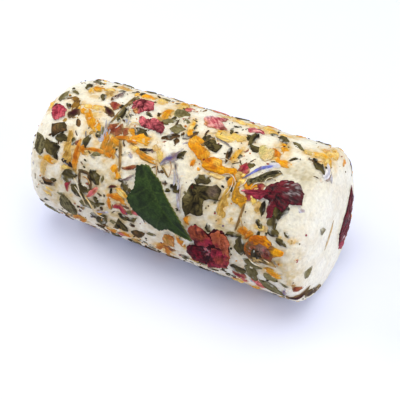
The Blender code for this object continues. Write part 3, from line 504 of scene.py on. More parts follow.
# Large toppings: outlines on the unrolled skin, along and degrees, and across and height on the
# end caps, of which the right one is 1 and the left one -1
CAP_PETALS = {"end_petal": 1, "left_end_petal": -1}
OUTLINES = {
    "green_leaf": (
        (-7.8, 136), (-4.5, 133.3), (-2.4, 137), (0.8, 141.5), (2.8, 148), (5.6, 154.5), (8.2, 161),
        (10.6, 168.5), (13, 177.6), (9.4, 176.5), (5.2, 174), (2, 177.8), (-3, 172.3), (-6.8, 167),
        (-8.9, 160.5), (-7.1, 151), (-7.5, 143),
    ),
    "rose_bloom": (
        (12.4, 168), (13.4, 163), (16, 164.3), (18, 166.5), (19.2, 162), (22, 160.8), (24.2, 166),
        (24.8, 174), (24.4, 186), (23, 194), (19, 198), (16.2, 199), (13, 198), (11.4, 192),
        (11.2, 184.5), (13.6, 180.5),
    ),
    "wine_petal": (
        (24.4, 130.2), (27, 127.6), (30, 125.6), (31.6, 120.5), (34, 115.5), (36.5, 112.6), (39, 113),
        (41.2, 119), (41.6, 126.5), (38.8, 129), (37.8, 135), (35.4, 133.5), (35.2, 140), (33.9, 142.5),
        (33.1, 136), (33.1, 131.5), (31.2, 130.3), (29.8, 132.6), (27.5, 131.2),
    ),
    "pink_petal_left": (
        (-41.5, 111), (-40.6, 108.6), (-39, 109.2), (-37.5, 109.6), (-36, 112), (-35.8, 117),
        (-36.8, 120.4), (-38.2, 123), (-39.2, 121.8), (-40.2, 119), (-41, 115),
    ),
    "calyx": (
        (-38.6, 126.2), (-36.8, 123.9), (-34.9, 122), (-33.7, 124.5), (-32.9, 128), (-34.4, 130),
        (-35.6, 132), (-36.8, 136), (-37.8, 133.5), (-38.6, 129),
    ),
    "olive_leaf_left": (
        (-43.5, 135.8), (-41, 136.6), (-39.2, 140), (-38.9, 145), (-39, 149.5), (-40, 152.5),
        (-42, 150.3), (-43.2, 147), (-43, 141),
    ),
    "striated_leaf": (
        (-30.8, 178), (-29.2, 181.5), (-27.6, 187), (-27, 193), (-28, 198.5), (-29.5, 200.5),
        (-31.5, 197.5), (-33.3, 193), (-33.2, 186), (-32.2, 180.5),
    ),
    "rose_upper": (
        (-18.4, 86), (-17.2, 81.5), (-15.3, 80.6), (-13, 81.6), (-12.2, 86), (-11.3, 90.3), (-13.6, 94.3),
        (-14.3, 97), (-15.3, 98.4), (-16.6, 97), (-17.6, 94.5), (-18.2, 90),
    ),
    "rose_lower": (
        (-13.9, 99.6), (-11.5, 100), (-9.7, 97.6), (-7, 98.3), (-5.2, 101.5), (-4.4, 106), (-4.6, 109),
        (-7.2, 108.2), (-9, 108), (-11.3, 107.8), (-12.8, 106), (-13.5, 102),
    ),
    "pink_fan": (
        (3, 77), (4.5, 73.8), (7, 73), (9, 70), (9.4, 75), (8.8, 79), (10.5, 83.5), (12.2, 87), (9.3, 89),
        (6.2, 90), (4.4, 86), (3.4, 81.5),
    ),
    "rose_small": (
        (16.7, 75.5), (18.5, 74.5), (20, 73), (21.8, 76), (21.4, 79), (19.6, 79.5), (18.1, 82.4),
        (17.2, 80.5),
    ),
    "round_leaf": (
        (-5.9, 78.5), (-4, 76.6), (-2.2, 79), (-1.2, 80.5), (-0.8, 83), (-2.2, 86), (-3, 88.4),
        (-4.6, 89), (-5.5, 86),
    ),
    "dark_leaf": (
        (8.4, 105.5), (9.5, 101), (11, 99.8), (11.8, 102.6), (13.6, 102), (13.6, 106.4), (13, 109.6),
        (11, 109.4), (9.6, 107.6),
    ),
    "marigold_petal": (
        (3.9, 105.5), (5.4, 103.6), (6.8, 106.4), (8.6, 109), (10.4, 113), (9.6, 118.6), (8.4, 117.4),
        (6.8, 114.6), (4.9, 112.6), (4, 109),
    ),
    "marigold_fold": (
        (10.8, 121.5), (11.3, 116.2), (13, 113.2), (15.6, 114), (17.2, 118), (20.6, 117.6), (20.3, 121.5),
        (17.8, 123.8), (14, 124), (11.7, 123.6),
    ),
    "amber_petal": (
        (22.5, 127), (23.4, 124.5), (24.4, 131.4), (27.1, 134), (26, 137), (24.3, 140), (22.8, 138),
        (22.4, 133),
    ),
    "crumpled_leaf": (
        (8.3, 148), (9.2, 141), (10, 136), (13, 134.9), (16, 133.4), (17.5, 131.9), (19, 134),
        (18.9, 141.5), (16.5, 142.5), (14.9, 144.5), (14.9, 149), (15.5, 154), (13.8, 156.5), (11.6, 156),
        (10.2, 159.4), (9.2, 155),
    ),
    "cornflower": (
        (23.4, 122.4), (25, 116.5), (26.8, 109.6), (28.5, 107), (30.4, 104.8), (30.3, 107.2),
        (28.8, 109.8), (27.2, 112.6), (25.6, 117),
    ),
    "curl_leaf": (
        (24.8, 122), (26.6, 118.6), (28.4, 114.5), (30.3, 110.5), (32.2, 107.6), (33.4, 109.6),
        (32.2, 114), (30.9, 117.6), (29.2, 120.4), (27, 122.6), (25.8, 125.6),
    ),
    "marigold_bloom": (
        (29.9, 172), (29.8, 164), (30.5, 159.5), (32, 156.4), (34.3, 153.8), (36, 155.8), (37.4, 158.9),
        (40, 160.4), (39.5, 164.5), (37.8, 167), (37, 171), (34.5, 174.4), (31.4, 174.6),
    ),
    "peach_petal": (
        (2.8, 187), (3.8, 181), (5.6, 179.4), (6.9, 182), (6.8, 188), (6.2, 192), (3.9, 192.4),
    ),
    "brown_leaf": ((-8.2, 191.6), (-6, 187.4), (-3.2, 188), (-4, 193), (-6, 197.4), (-7.7, 195)),
    "dark_leaf_low": (
        (-14, 194), (-13, 188), (-11.8, 181.6), (-10.6, 184.6), (-9, 189), (-9.2, 193.6), (-10.5, 194.6),
        (-11.9, 192.4), (-13, 195),
    ),
    "end_petal": (
        (10.8, 8.4), (12, 4.5), (11.3, -0.6), (9.3, -4.6), (6.6, -8), (3, -9.4), (1.2, -6.6), (1.6, -2.2),
        (4, 1), (7, 4.6),
    ),
    "left_end_petal": (
        (-4.4, 2.6), (-2.6, 5.8), (1.2, 6.9), (4.6, 5.6), (7.8, 6.4), (9.2, 3), (7.6, -0.4), (5.2, -3.4),
        (1.4, -4.2), (-2.4, -2),
    ),
}

# Petals that stand over a bloom's base: bloom, outline, middle, crumple, rise, dark, light and
# rim colour, heading of the crinkles, lift of the rim, and dabs of colour. Their crinkles have
# one size, stretch and height.
PETAL_CRINKLE = (0.7, 2.5, 0.4)
BLOOM_PARTS = (
    (
        "rose_bloom",
        (
            (11.3, 184), (13, 180), (15.5, 180), (17, 184), (17.6, 190), (17, 197), (14.5, 198.5),
            (12.2, 196.5), (11.4, 191),
        ),
        (14.5, 189), 0.3, 0.5, "wine_dark", "crimson", "wine", 80, 0.5,
        ((15.5, 192, 1.4, "crimson", 0.5), (12.6, 186, 1, "wine_dark", 0.6)),
    ),
    (
        "rose_bloom",
        (
            (11.6, 168.5), (12.6, 164), (14.4, 162.6), (16.6, 164.4), (18.6, 168), (20, 172),
            (18.6, 175.5), (16.5, 178), (14.3, 177.5), (12.6, 173),
        ),
        (15.8, 170.5), 0.35, 0.7, "wine", "brick_light", "rose", 60, 0.75,
        (
            (18.4, 172, 1.3, "rose", 0.9), (16.6, 175.6, 1.3, "rose", 0.8),
            (13.2, 167, 1.3, "brick_light", 0.7), (15.2, 165.2, 0.8, "salmon", 0.5),
        ),
    ),
    (
        "rose_bloom",
        (
            (19.5, 176), (22, 174.5), (24.8, 176), (24.8, 184), (24, 190), (22, 194.5), (19.5, 197),
            (17.5, 198.5), (17.6, 194), (18.5, 188), (19, 181),
        ),
        (21.3, 184), 0.4, 0.8, "wine", "rose", "salmon", 95, 0.75,
        (
            (24.4, 181, 0.7, "salmon", 0.7), (22.6, 192, 0.8, "salmon", 0.5),
            (22, 184, 1.8, "brick_light", 0.6), (19.2, 187, 1, "wine_dark", 0.7),
        ),
    ),
    (
        "rose_bloom",
        (
            (19, 169), (18.8, 165), (20.4, 162), (21.4, 160.6), (22, 162.4), (23.8, 164), (24.9, 168),
            (24.6, 173), (25, 179), (24.4, 186), (23.5, 183), (23.2, 177), (22, 174), (20.6, 173.6),
        ),
        (22.6, 169), 0.4, 0.7, "brick_light", "salmon", "salmon", 100, 0.55,
        (
            (21.2, 171.6, 0.8, "crimson", 0.9), (23, 173.5, 0.5, "wine", 0.7),
            (24.2, 170, 0.7, "salmon", 0.8), (21.4, 164, 0.8, "deep_orange", 0.4),
        ),
    ),
    (
        "marigold_bloom",
        (
            (30.2, 160), (31, 156.5), (33, 154.6), (35.5, 155.2), (37, 158.5), (36.4, 161.5),
            (33.8, 160.8), (31.4, 163),
        ),
        (33.6, 158.3), 0.4, 0.6, "deep_orange", "orange", "ochre", 10, 0.5,
        (
            (35.8, 157.4, 0.9, "marigold", 0.6), (32.2, 159.4, 0.9, "brick", 0.5),
            (34, 161, 1, "brick", 0.7), (31, 158.6, 0.9, "deep_orange", 0.7),
        ),
    ),
    (
        "marigold_bloom", ((29.4, 163), (31, 161), (32, 165), (31.6, 170), (30.2, 172.5), (29.2, 168)),
        (30.7, 166.5), 0.3, 0.5, "leaf_brown", "deep_orange", "leaf_brown", 90, 0.5,
        ((30, 171, 0.8, "leaf_brown", 0.7),),
    ),
    (
        "marigold_bloom", ((37.2, 162), (38.6, 159.4), (40.5, 160), (40.2, 163.6), (38.2, 165.2)),
        (38.8, 162.2), 0.3, 0.5, "orange", "marigold", "pale_yellow", 0, 0.5, (),
    ),
    (
        "marigold_bloom", ((31.4, 165.4), (33.2, 164), (35, 166.2), (34.6, 169.8), (32.4, 171)),
        (33.2, 167.6), 0.4, 0.4, "leaf_black", "leaf_dark", "leaf_black", 30, 0.75,
        ((32.6, 165.8, 0.3, "curd", 0.8), (34, 170.4, 0.35, "curd", 0.8)),
    ),
    (
        "marigold_bloom",
        ((33.4, 161.8), (35.8, 161.2), (37.4, 164.2), (37, 168.6), (35.2, 169), (34.8, 165.4)),
        (35.8, 165), 0.4, 0.6, "brick", "mauve", "brick", 90, 0.6,
        ((34.6, 162.6, 0.7, "pink", 0.7), (36.6, 166.6, 0.8, "brick", 0.7)),
    ),
    (
        "marigold_bloom",
        ((31.6, 172), (34.2, 169.6), (37.4, 170.2), (39, 173.6), (35.6, 174.4), (32.4, 175.4)),
        (34.8, 172.4), 0.35, 0.4, "leaf_dark", "buff", "ochre", 0, 0.45, (),
    ),
)

# Each large topping: middle, crumple, rise, material, dark and light colour, rim colour, and its
# crinkles: size, stretch, heading and height. The dark colour goes into the crinkles' folds as painted
# shade, and the light one onto their ridges as painted highlight.
LARGE = {
    "rose_bloom": ((18.8, 180), 0.4, 0.7, "rose", "wine_dark", "wine", "wine", (1, 1.5, 90, 0.35)),
    "wine_petal": ((33.9, 124), 0.3, 0.7, "wine", "wine_dark", "crimson", "wine", (1.1, 1.6, 20, 0.6)),
    "pink_petal_left": ((-38.5, 115), 0.3, 0.4, "rose", "crimson", "pink", "rose", (0.8, 3, 80, 0.35)),
    "calyx": (
        (-36.3, 128.4), 0.25, 0.35, "leaf", "leaf_dark", "leaf_brown", "leaf_black", (0.7, 4, 75, 0.2),
    ),
    "olive_leaf_left": (
        (-41, 143), 0.2, 0.2, "leaf", "leaf_dark", "leaf_grey", "leaf_olive", (0.9, 3, 100, 0.15),
    ),
    "striated_leaf": (
        (-30.3, 189.6), 0.2, 0.25, "leaf", "leaf_dark", "leaf_grey", "leaf_olive", (0.5, 8, 78, 0.15),
    ),
    "rose_upper": ((-15.3, 88.5), 0.4, 0.7, "rose", "wine", "pink", "rose", (0.8, 1.3, 60, 0.7)),
    "rose_lower": ((-8.3, 103.7), 0.4, 0.6, "rose", "wine", "pink", "crimson", (0.8, 1.3, 30, 0.7)),
    "pink_fan": ((6.6, 81), 0.35, 0.45, "rose", "rose", "pink_light", "peach", (0.6, 6, 53, 0.35)),
    "rose_small": ((19, 77), 0.25, 0.35, "rose", "rose", "pink_light", "pink", (0.8, 2, 20, 0.3)),
    "round_leaf": (
        (-3.5, 82.7), 0.15, 0.2, "leaf", "leaf_olive", "leaf_grey", "leaf_pale", (0.9, 2.5, 80, 0.15),
    ),
    "dark_leaf": (
        (11.2, 105.6), 0.2, 0.3, "leaf", "leaf_black", "leaf_olive", "leaf_black", (0.8, 1.5, 0, 0.25),
    ),
    "marigold_petal": (
        (6.6, 110), 0.25, 0.3, "marigold", "orange", "marigold", "orange", (0.7, 4, 50, 0.2),
    ),
    "marigold_fold": (
        (16.3, 120.5), 0.35, 0.6, "marigold", "orange", "marigold", "orange", (0.9, 3, 10, 0.4),
    ),
    "amber_petal": (
        (23.9, 134.5), 0.25, 0.35, "marigold", "ochre", "marigold", "ochre", (0.7, 3, 70, 0.3),
    ),
    "crumpled_leaf": (
        (12.5, 141.2), 0.4, 0.5, "leaf", "leaf_black", "leaf_olive", "leaf_black", (1.2, 1.2, 40, 0.6),
    ),
    "cornflower": (
        (27.1, 111), 0.1, 0.1, "floret", "cornflower", "pale_blue", "petal_white_and_highlight", (0.35, 12, -57, 0.08),
    ),
    "curl_leaf": (
        (27.6, 119), 0.3, 0.35, "leaf", "leaf_black", "leaf_grey", "buff", (0.7, 2.5, -60, 0.5),
    ),
    "marigold_bloom": (
        (34.1, 164.2), 0.45, 0.9, "marigold", "leaf_brown", "brick_light", "leaf_brown",
        (0.8, 1.5, 60, 0.5),
    ),
    "peach_petal": (
        (5, 186.5), 0.25, 0.4, "marigold", "ochre", "peach", "deep_orange", (0.7, 3, 80, 0.3),
    ),
    "brown_leaf": (
        (-5.9, 192.2), 0.2, 0.25, "leaf", "leaf_dark", "leaf_brown", "leaf_dark", (0.7, 3, 40, 0.2),
    ),
    "dark_leaf_low": (
        (-11.4, 188), 0.3, 0.35, "leaf", "leaf_black", "leaf_olive", "leaf_black", (0.9, 2, 50, 0.3),
    ),
    "end_petal": ((6.3, -1.8), 0.35, 0.55, "wine", "wine_dark", "crimson", "wine", (1, 1.5, 50, 0.5)),
    "left_end_petal": ((2.8, 1.6), 0.35, 0.55, "rose", "crimson", "pink", "crimson", (1, 1.6, 20, 0.5)),
}

# How each material's large sheets are drawn: roundness and raggedness of the outline, rings from
# the middle to the rim, and steps from one corner to the next
SHEET_FINISH = {
    "leaf": (0.35, 0.14, 9, 5),
    "marigold": (0.8, 0.28, 10, 6),
    "rose": (0.7, 0.36, 13, 7),
    "wine": (0.7, 0.3, 12, 6),
    "floret": (0.7, 0.12, 6, 5),
}

# Dabs of colour on the large toppings, each placed as the outline is: its place, reach in mm,
# colour and strength
DABS = {
    "rose_bloom": (
        (17.6, 178.5, 0.5, "pink", 0.8), (18.2, 183, 0.5, "pink", 0.7), (17.2, 186, 0.4, "salmon", 0.7),
        (18.8, 179.5, 0.4, "pink", 0.6),
    ),
    "wine_petal": (
        (26.5, 129, 2.6, "rose", 0.9), (24.8, 130, 1.4, "pink", 0.8), (29.5, 128, 2.2, "rose", 0.7),
        (38.5, 120, 3.2, "wine", 0.6), (34.5, 138, 2, "crimson", 0.9),
    ),
    "pink_petal_left": (
        (-40.5, 109.5, 0.9, "wine", 0.9), (-39, 109.5, 0.6, "wine", 0.8), (-37.6, 121, 1.2, "pink", 0.8),
        (-38.6, 114.5, 2.2, "rose", 0.75),
    ),
    "rose_upper": (
        (-15.6, 81.8, 1.4, "wine", 0.8), (-16, 97.4, 1.1, "peach", 0.9), (-13.4, 86, 1, "pink", 0.6),
    ),
    "rose_lower": (
        (-12.3, 103, 1.6, "pink", 0.7), (-6, 105, 1.8, "wine", 0.6), (-6.5, 99.2, 0.8, "brick", 0.9),
    ),
    "pink_fan": (
        (9, 77, 0.8, "wine", 0.5), (8.7, 73, 0.6, "wine", 0.7), (10.6, 87, 1, "brick", 0.9),
        (4.8, 87, 1.2, "peach", 0.8), (6.5, 83, 1.6, "pink", 0.5), (3.8, 77, 1.1, "petal_white_and_highlight", 0.6),
        (5.4, 73.5, 1.1, "petal_white_and_highlight", 0.5),
    ),
    "rose_small": ((19.8, 75, 0.7, "wine", 0.8),),
    "marigold_petal": ((9.4, 114, 1.2, "deep_orange", 0.6), (5.2, 106, 1.2, "pale_yellow", 0.4)),
    "marigold_fold": (
        (12, 117, 1.2, "deep_orange", 0.9), (15, 117, 1.3, "pale_yellow", 0.5),
        (14.6, 121.2, 1, "deep_orange", 0.7), (17.5, 119.5, 1.2, "marigold", 0.7),
    ),
    "crumpled_leaf": (
        (16.8, 136.5, 1.6, "mauve", 0.35), (9.4, 144, 1.2, "leaf_grey", 0.5),
        (12, 151, 1.5, "leaf_black", 0.6), (10.4, 138.3, 0.4, "brick", 0.9),
    ),
    "cornflower": (
        (24.4, 119.6, 0.6, "violet", 0.7), (25.4, 116.6, 0.7, "cornflower", 0.9),
        (26.4, 113.6, 0.7, "cornflower", 1), (27.1, 111.6, 0.6, "violet", 0.8),
        (28, 109.8, 0.6, "cornflower", 0.9), (29, 108.2, 0.45, "cornflower", 0.8),
        (26.9, 109.6, 0.3, "crimson", 0.9),
    ),
    "marigold_bloom": (
        (38.4, 162.2, 1.6, "marigold", 0.9), (34.4, 162.6, 1.6, "mauve", 0.7),
        (33.6, 173, 2.4, "leaf_olive", 0.8), (30.4, 168, 1, "brick_light", 0.7),
        (37, 159.5, 0.8, "leaf_brown", 0.9), (37.2, 165, 0.8, "leaf_brown", 0.9),
        (30.2, 162, 1.2, "leaf_brown", 0.8), (32.6, 168.6, 1.7, "leaf_black", 0.95),
        (35.6, 172.2, 1.4, "leaf_brown", 0.8), (36, 166.5, 0.9, "crimson", 0.6),
        (31.2, 166, 0.35, "curd", 0.8), (34.2, 155.5, 1.2, "orange", 0.8),
    ),
    "peach_petal": ((5.6, 181, 1.2, "deep_orange", 0.6),),
    "calyx": ((-36.6, 134, 1.2, "leaf_black", 0.7), (-35.9, 126, 1.2, "leaf_olive", 0.5)),
    "end_petal": (
        (3, -8.4, 3.2, "rose", 0.95), (5.8, -1.5, 0.6, "rose", 0.5), (5, -5, 1.6, "crimson", 0.6),
    ),
}

# Painted highlights: white along thin curvy lines on the moist petals, placed alike: reach in mm,
# strength
GLINTS = {
    "wine_petal": ((38.6, 119, 2.2, 0.42), (36.4, 114.5, 1.2, 0.36), (33.6, 132, 0.8, 0.3)),
    "end_petal": ((4.4, -5.4, 1.2, 0.7), (6.4, 0.4, 1, 0.4), (8.4, 4.6, 0.8, 0.4)),
    "rose_bloom": ((17.8, 180.5, 1.2, 0.5),),
}

# The far side carries the same shapes again: whose shape, along, degrees, turn, size
FAR_TOPPINGS = {
    "far_leaf": ("green_leaf", 19, 341, 151, 0.85),
    "far_rose": ("rose_bloom", -21, 346, 150, 0.85),
    "far_pink_petal": ("rose_upper", 35, 369, 60, 1),
    "far_rose_petals": ("rose_lower", -4, 367, 115, 1.1),
    "far_wine_petal": ("wine_petal", -36.5, 320, 160, 0.8),
    "far_marigold": ("marigold_bloom", -4.5, 327, 70, 0.9),
    "far_marigold_fold": ("marigold_fold", 37.5, 335, 100, 1),
    "far_marigold_petal": ("marigold_petal", -37, 366, 35, 1.15),
    "far_olive_leaf": ("striated_leaf", 10, 373, 75, 0.9),
}

# The green leaf: its middle, how far that rises in mm, the size of its teeth as a share of its
# breadth, and the rings of its mesh
LEAF_MIDDLE = (-1, 157)
LEAF_RISE = 0.35
LEAF_TOOTH = 0.018
LEAF_RINGS = 22

# Leaf veins: the midrib, then the side veins, as runs of places
LEAF_VEINS = (
    ((-6.2, 135), (-3.8, 141.5), (-1.2, 149), (2.2, 158), (6.8, 168), (12.6, 177.2)),
    ((-3.8, 141.5), (-6.2, 146.5), (-7, 150.5)), ((-1.9, 147), (-5, 153.5), (-8, 159)),
    ((0.6, 153.6), (-1.8, 161), (-5.4, 167.5)), ((3.6, 161.5), (2.2, 168.5), (1.4, 176)),
    ((-3, 143.8), (-1.4, 142), (-0.4, 141.2)), ((-0.6, 150.5), (1.4, 149), (2.6, 149)),
    ((2.2, 158), (4.4, 156.6), (5.8, 156.8)), ((5.2, 164.8), (7.4, 163.8), (8.8, 164.4)),
)

# What a small topping leaves in the curd, by its material: colour, strength and reach in mm. The
# juice fades towards the end caps, from and over these shares of the radius.
JUICES = {
    "leaf": ("curd_grey", 0.45, 0.5),
    "marigold": ("juice", 1, 1.3),
    "rose": ("salmon", 0.3, 0.5),
    "floret": ("mauve", 0.3, 0.5),
    "stem": ("curd_warm", 0.4, 0.5),
}
JUICE_FROM = 0.72
JUICE_FADE = 0.22

# How a topping dents the curd, as shares of the press: the dint under it, and the height, distance
# and width in mm of the swell round it; then the most that dints and swells add up to
SMALL_DINT = -0.6
SMALL_SWELL = (0.8, 0.35, 0.3)
LARGE_DINT = -0.8
LARGE_SWELL = (0.7, 0.4, 0.35)
PRESS_RANGE = (-1.2, 0.9)

# Pits in the curd: their reach and depth in mm
PIT_SEED = 7
PIT_REACHES = (0.35, 0.9)
PIT_DEPTHS = (0.08, 0.25)

# Colours of the fine blotches round the toppings
BLOTCHES = ("leaf_grey", "ochre", "marigold", "curd_warm", "buff", "leaf_brown", "peach", "straw")

# Soft patches of colour in the curd, by colour: along, degrees, reach in mm, strength. The beige ones,
# all on the near side, are painted shade that darkens that side.
STAINS = {
    "curd_mottle_and_painted_shade": (
        (22, 152, 20, 0.85), (-18, 158, 16, 0.75), (4, 186, 12, 0.6), (40.5, 178, 8, 1),
        (41, 164, 7, 0.6), (-33, 182, 12, 0.95), (-14, 188, 13, 1), (14, 198, 11, 0.8),
        (-40, 152, 9, 0.6), (37, 190, 6, 0.4),
    ),
    "curd_grey": (
        (39.2, 105, 4.4, 1), (38, 118, 6, 0.6), (35.6, 105, 4.8, 1), (41, 132, 4, 0.35),
        (-37, 160, 5, 0.35), (2, 190, 5, 0.4), (42.5, 170, 4, 0.3), (26, 205, 6, 0.4), (-12, 160, 4, 0.4),
    ),
    "curd_warm": (
        (-32, 148, 5, 0.6), (-30, 124, 4, 0.5), (-8, 128, 5, 0.6), (-2, 118, 3, 0.25), (30, 150, 4, 0.5),
        (22, 148, 3, 0.5), (38, 168, 4, 0.3), (12, 93, 3, 0.4),
    ),
    "pale_blue": ((6, 140, 4, 0.35),),
    "juice": (
        (-28, 112, 6, 0.75), (-22, 128, 5, 0.68), (-30, 141, 6, 0.75), (-18.5, 128, 3.5, 0.9),
        (-34, 106, 4, 0.52), (-13, 120, 5, 0.68), (-9, 130, 4, 0.52), (6, 107, 4.5, 0.8),
        (16, 121, 5, 0.6), (23, 130, 4.5, 0.8), (20.6, 142, 3.5, 0.8), (40, 83, 4, 0.68),
        (33, 160, 5, 0.6), (1, 94, 4, 0.52), (14, 89, 5, 0.45), (-17, 72, 5, 0.52), (-6, 66, 4, 0.5),
        (17, 66, 4, 0.4), (-30, 83, 4, 0.4), (-43, 108, 4, 0.75),
    ),
}


# Settings


def title(name):
    return name.replace("_", " ").capitalize()


def colour_property(name, hex_colour, note):
    return FloatVectorProperty(
        name=title(name), description=f"Colour of the {note}", subtype="COLOR", size=3, min=0,
        max=1, default=linear(hex_colour),
    )


class CheeseColours(bpy.types.PropertyGroup):
    """The colours of the curd, of everything pressed into it and of the floor"""

    __annotations__ = {name: colour_property(name, *values) for name, values in PALETTE.items()}


class CheeseSizes(bpy.types.PropertyGroup):
    """Sizes of the curd's surface"""

    rings: IntProperty(
        name="Rings", description="Rings of the curd's mesh from end to end", default=230, min=60
    )
    facets: IntProperty(
        name="Facets", description="Facets of the curd's mesh round the log", default=316, min=80
    )
    grain: FloatProperty(
        name="Grain", description="Height of the curd's grain, in mm", default=0.13, min=0
    )
    lumps: FloatProperty(
        name="Lumps", description="Height of the crumbly lumps in the bare curd, in mm",
        default=0.35, min=0,
    )
    grain_size: FloatProperty(
        name="Grain size", description="Spacing of the curd's grain, in mm", default=1.5, min=0.1
    )
    press: FloatProperty(
        name="Press", description="How deep a topping is pressed in, in mm", default=0.22, min=0
    )
    pits: IntProperty(name="Pits", description="Number of small pits", default=170, min=0)


class ToppingSizes(bpy.types.PropertyGroup):
    """Sizes of the petals, leaves and crumbs"""

    petal_wall: FloatProperty(
        name="Petal wall", description="Thickness of a petal, in mm", default=0.14, min=0.02
    )
    leaf_wall: FloatProperty(
        name="Leaf wall", description="Thickness of a leaf, in mm", default=0.18, min=0.02
    )
    lift: FloatProperty(
        name="Lift", description="How far small toppings stand up, in mm", default=0.26, min=0
    )
    shreds: IntProperty(name="Shreds", description="Number of fine shreds", default=700, min=0)
    crumbs: IntProperty(name="Crumbs", description="Number of crumbs", default=420, min=0)


class StageSettings(bpy.types.PropertyGroup):
    """The camera and the lights"""

    azimuth: FloatProperty(
        name="Azimuth", description="Camera's turn to the right", subtype="ANGLE",
        default=math.radians(26.9),
    )
    elevation: FloatProperty(
        name="Elevation", description="Camera's angle above the floor", subtype="ANGLE",
        default=math.radians(41),
    )
    distance: FloatProperty(
        name="Distance", description="Camera to the log's middle", unit="LENGTH", default=0.25587
    )
    lens: FloatProperty(name="Lens", description="Focal length, in mm", default=76.888)
    sky: FloatProperty(name="Sky", description="Strength of the even light", default=0.44)
    __annotations__.update({
        side: FloatProperty(
            name=f"{title(side)} light", description=f"Strength of the soft box {where}",
            unit="POWER", default=power,
        )
        for side, (where, power, *_) in SOFT_BOXES.items()
    })


# The cheese's shape


def smooth_step(value):
    """A rise from 0 to 1 that starts and ends softly."""
    value = min(1.0, max(0.0, value))
    return value * value * (3 - 2 * value)


def left_round(angle):
    """Radius of the left rim's rounding at this angle round the log."""
    return LEFT_ROUND * (1 + LEFT_SWING * math.cos(angle - LEFT_SWING_FROM))


def right_round(angle):
    """Radius of the right rim's rounding at this angle round the log."""
    return RIGHT_ROUND * (1 + RIGHT_SWING * math.cos(angle - RIGHT_SWING_FROM))


def quarter(share):
    """How far a quarter circle has dropped, as a share of its radius."""
    share = min(1.0, max(0.0, share))
    return 1 - math.sqrt(1 - share * share)


def taper(along):
    """The log's width here as a share of its width in the middle."""
    return 1 - TAPER * max(0.0, -2 * along / LENGTH) ** TAPER_POWER


def skin_radius(along, angle):
    """Distance of the side from the log's axis."""
    left = left_round(angle)
    right = right_round(angle)
    radius = RADIUS
    radius -= left * quarter(1 - (along + LENGTH / 2) / (left * LEFT_REACH))
    radius -= right * quarter(1 - (LENGTH / 2 - along) / (right * RIGHT_REACH))
    return radius * taper(along)


def settle(along, across, height):
    """Leans the ends, adds the soft lumps and sets the point in the frame, in millimetres."""
    right = smooth_step(along / LENGTH + 0.5) ** 2
    left = smooth_step(0.5 - along / LENGTH) ** 2
    shift = right * (RIGHT_LEAN_Y * across + RIGHT_LEAN_Z * height)
    shift += left * (LEFT_LEAN_Y * across + LEFT_LEAN_Z * height)
    point = Vector((along + shift + CENTRE_X, across + CENTRE_Y, height + AXIS_HEIGHT))
    lump = RELIEF * lumps(point, RELIEF_SPACING)
    away = Vector((RELIEF_ENDWAYS * along / LENGTH, across / RADIUS, height / RADIUS))
    return point + away * lump


def on_side(along, arc):
    """A place on the side: both in mm on the unrolled skin."""
    reach = LENGTH / 2 - END_MARGIN
    along = min(reach, max(-reach, along))
    angle = arc / RADIUS
    radius = skin_radius(along, angle)
    return settle(along, radius * math.cos(angle), radius * math.sin(angle))


def on_cap(across, height, end):
    """A place on an end cap: end is 1 for the right one and -1 for the left one."""
    angle = math.atan2(height, across)
    ring = math.hypot(across, height)
    edge = right_round(angle) if end > 0 else left_round(angle)
    reach = edge * (RIGHT_REACH if end > 0 else LEFT_REACH)
    drop = quarter((ring - RADIUS + edge) / edge)
    return settle(end * (LENGTH / 2 - reach * drop), across, height)


CAPS = {end: functools.partial(on_cap, end=end) for end in (1, -1)}


def outward(point):
    """Roughly which way is out of the cheese here: away from its axis, or off its end."""
    spine = (LENGTH - RADIUS) / 2
    nearest = max(-spine, min(spine, point.x))
    return point - Vector((nearest, CENTRE_Y, AXIS_HEIGHT))


@functools.lru_cache(maxsize=None)
def normal_at(ground, column, row):
    """The skin's normal at one knot of a fine square net."""
    step = SLOPE_STEP
    first, second = column * step, row * step
    one = ground(first + step, second) - ground(first - step, second)
    other = ground(first, second + step) - ground(first, second - step)
    normal = one.cross(other).normalized()
    if normal.dot(outward(ground(first, second))) < 0:
        normal.negate()
    return normal


def skin_normal(ground, first, second):
    """The skin's normal at a place."""
    return normal_at(ground, round(first / SLOPE_STEP), round(second / SLOPE_STEP))


def over(ground, first, second, lift):
    """The point that stands so many millimetres over a place."""
    return ground(first, second) + skin_normal(ground, first, second) * lift


def profile(share, angle):
    """The profile's point (along, radius) at this share of its rings, from the left pole."""
    left = left_round(angle)
    right = right_round(angle)
    stops = PROFILE_STOPS
    part = max(i for i in range(len(stops) - 1) if share >= stops[i])
    inside = (share - stops[part]) / (stops[part + 1] - stops[part])
    if part == 0:
        return -LENGTH / 2, (RADIUS - left) * inside
    if part == 1:
        turn = inside * math.pi / 2
        drop = left * LEFT_REACH * (1 - math.cos(turn))
        return -LENGTH / 2 + drop, RADIUS - left + left * math.sin(turn)
    if part == 2:
        start = -LENGTH / 2 + left * LEFT_REACH
        end = LENGTH / 2 - right * RIGHT_REACH
        return start + (end - start) * inside, RADIUS
    if part == 3:
        turn = (1 - inside) * math.pi / 2
        drop = right * RIGHT_REACH * (1 - math.cos(turn))
        return LENGTH / 2 - drop, RADIUS - right + right * math.sin(turn)
    return LENGTH / 2, (RADIUS - right) * (1 - inside)


# Noise


def lumps(point, size):
    """Noise with lumps of one size, in mm, at a point in space."""
    return noise.noise(point / size)


def patches(first, second, size, seed):
    """Noise with patches of one size, in mm, at a place on a surface."""
    return noise.noise(Vector((first / size, second / size, seed)))


def ridges(first, second, size, stretch, heading, seed):
    """Crinkles as a value from 0 in the folds to 1 on the ridges."""
    turn = math.radians(heading)
    run = (first * math.cos(turn) + second * math.sin(turn)) / (size * stretch)
    across = (second * math.cos(turn) - first * math.sin(turn)) / size
    warp = 0.6 * patches(first, second, 2 * size, seed + 11)
    value = abs(noise.noise(Vector((run + warp, across - warp, seed))))
    finer = abs(noise.noise(Vector((run * 2.1, across * 2.1, seed + 5))))
    return min(1.0, 1.9 * value + 0.9 * finer)


# Rows and outlines


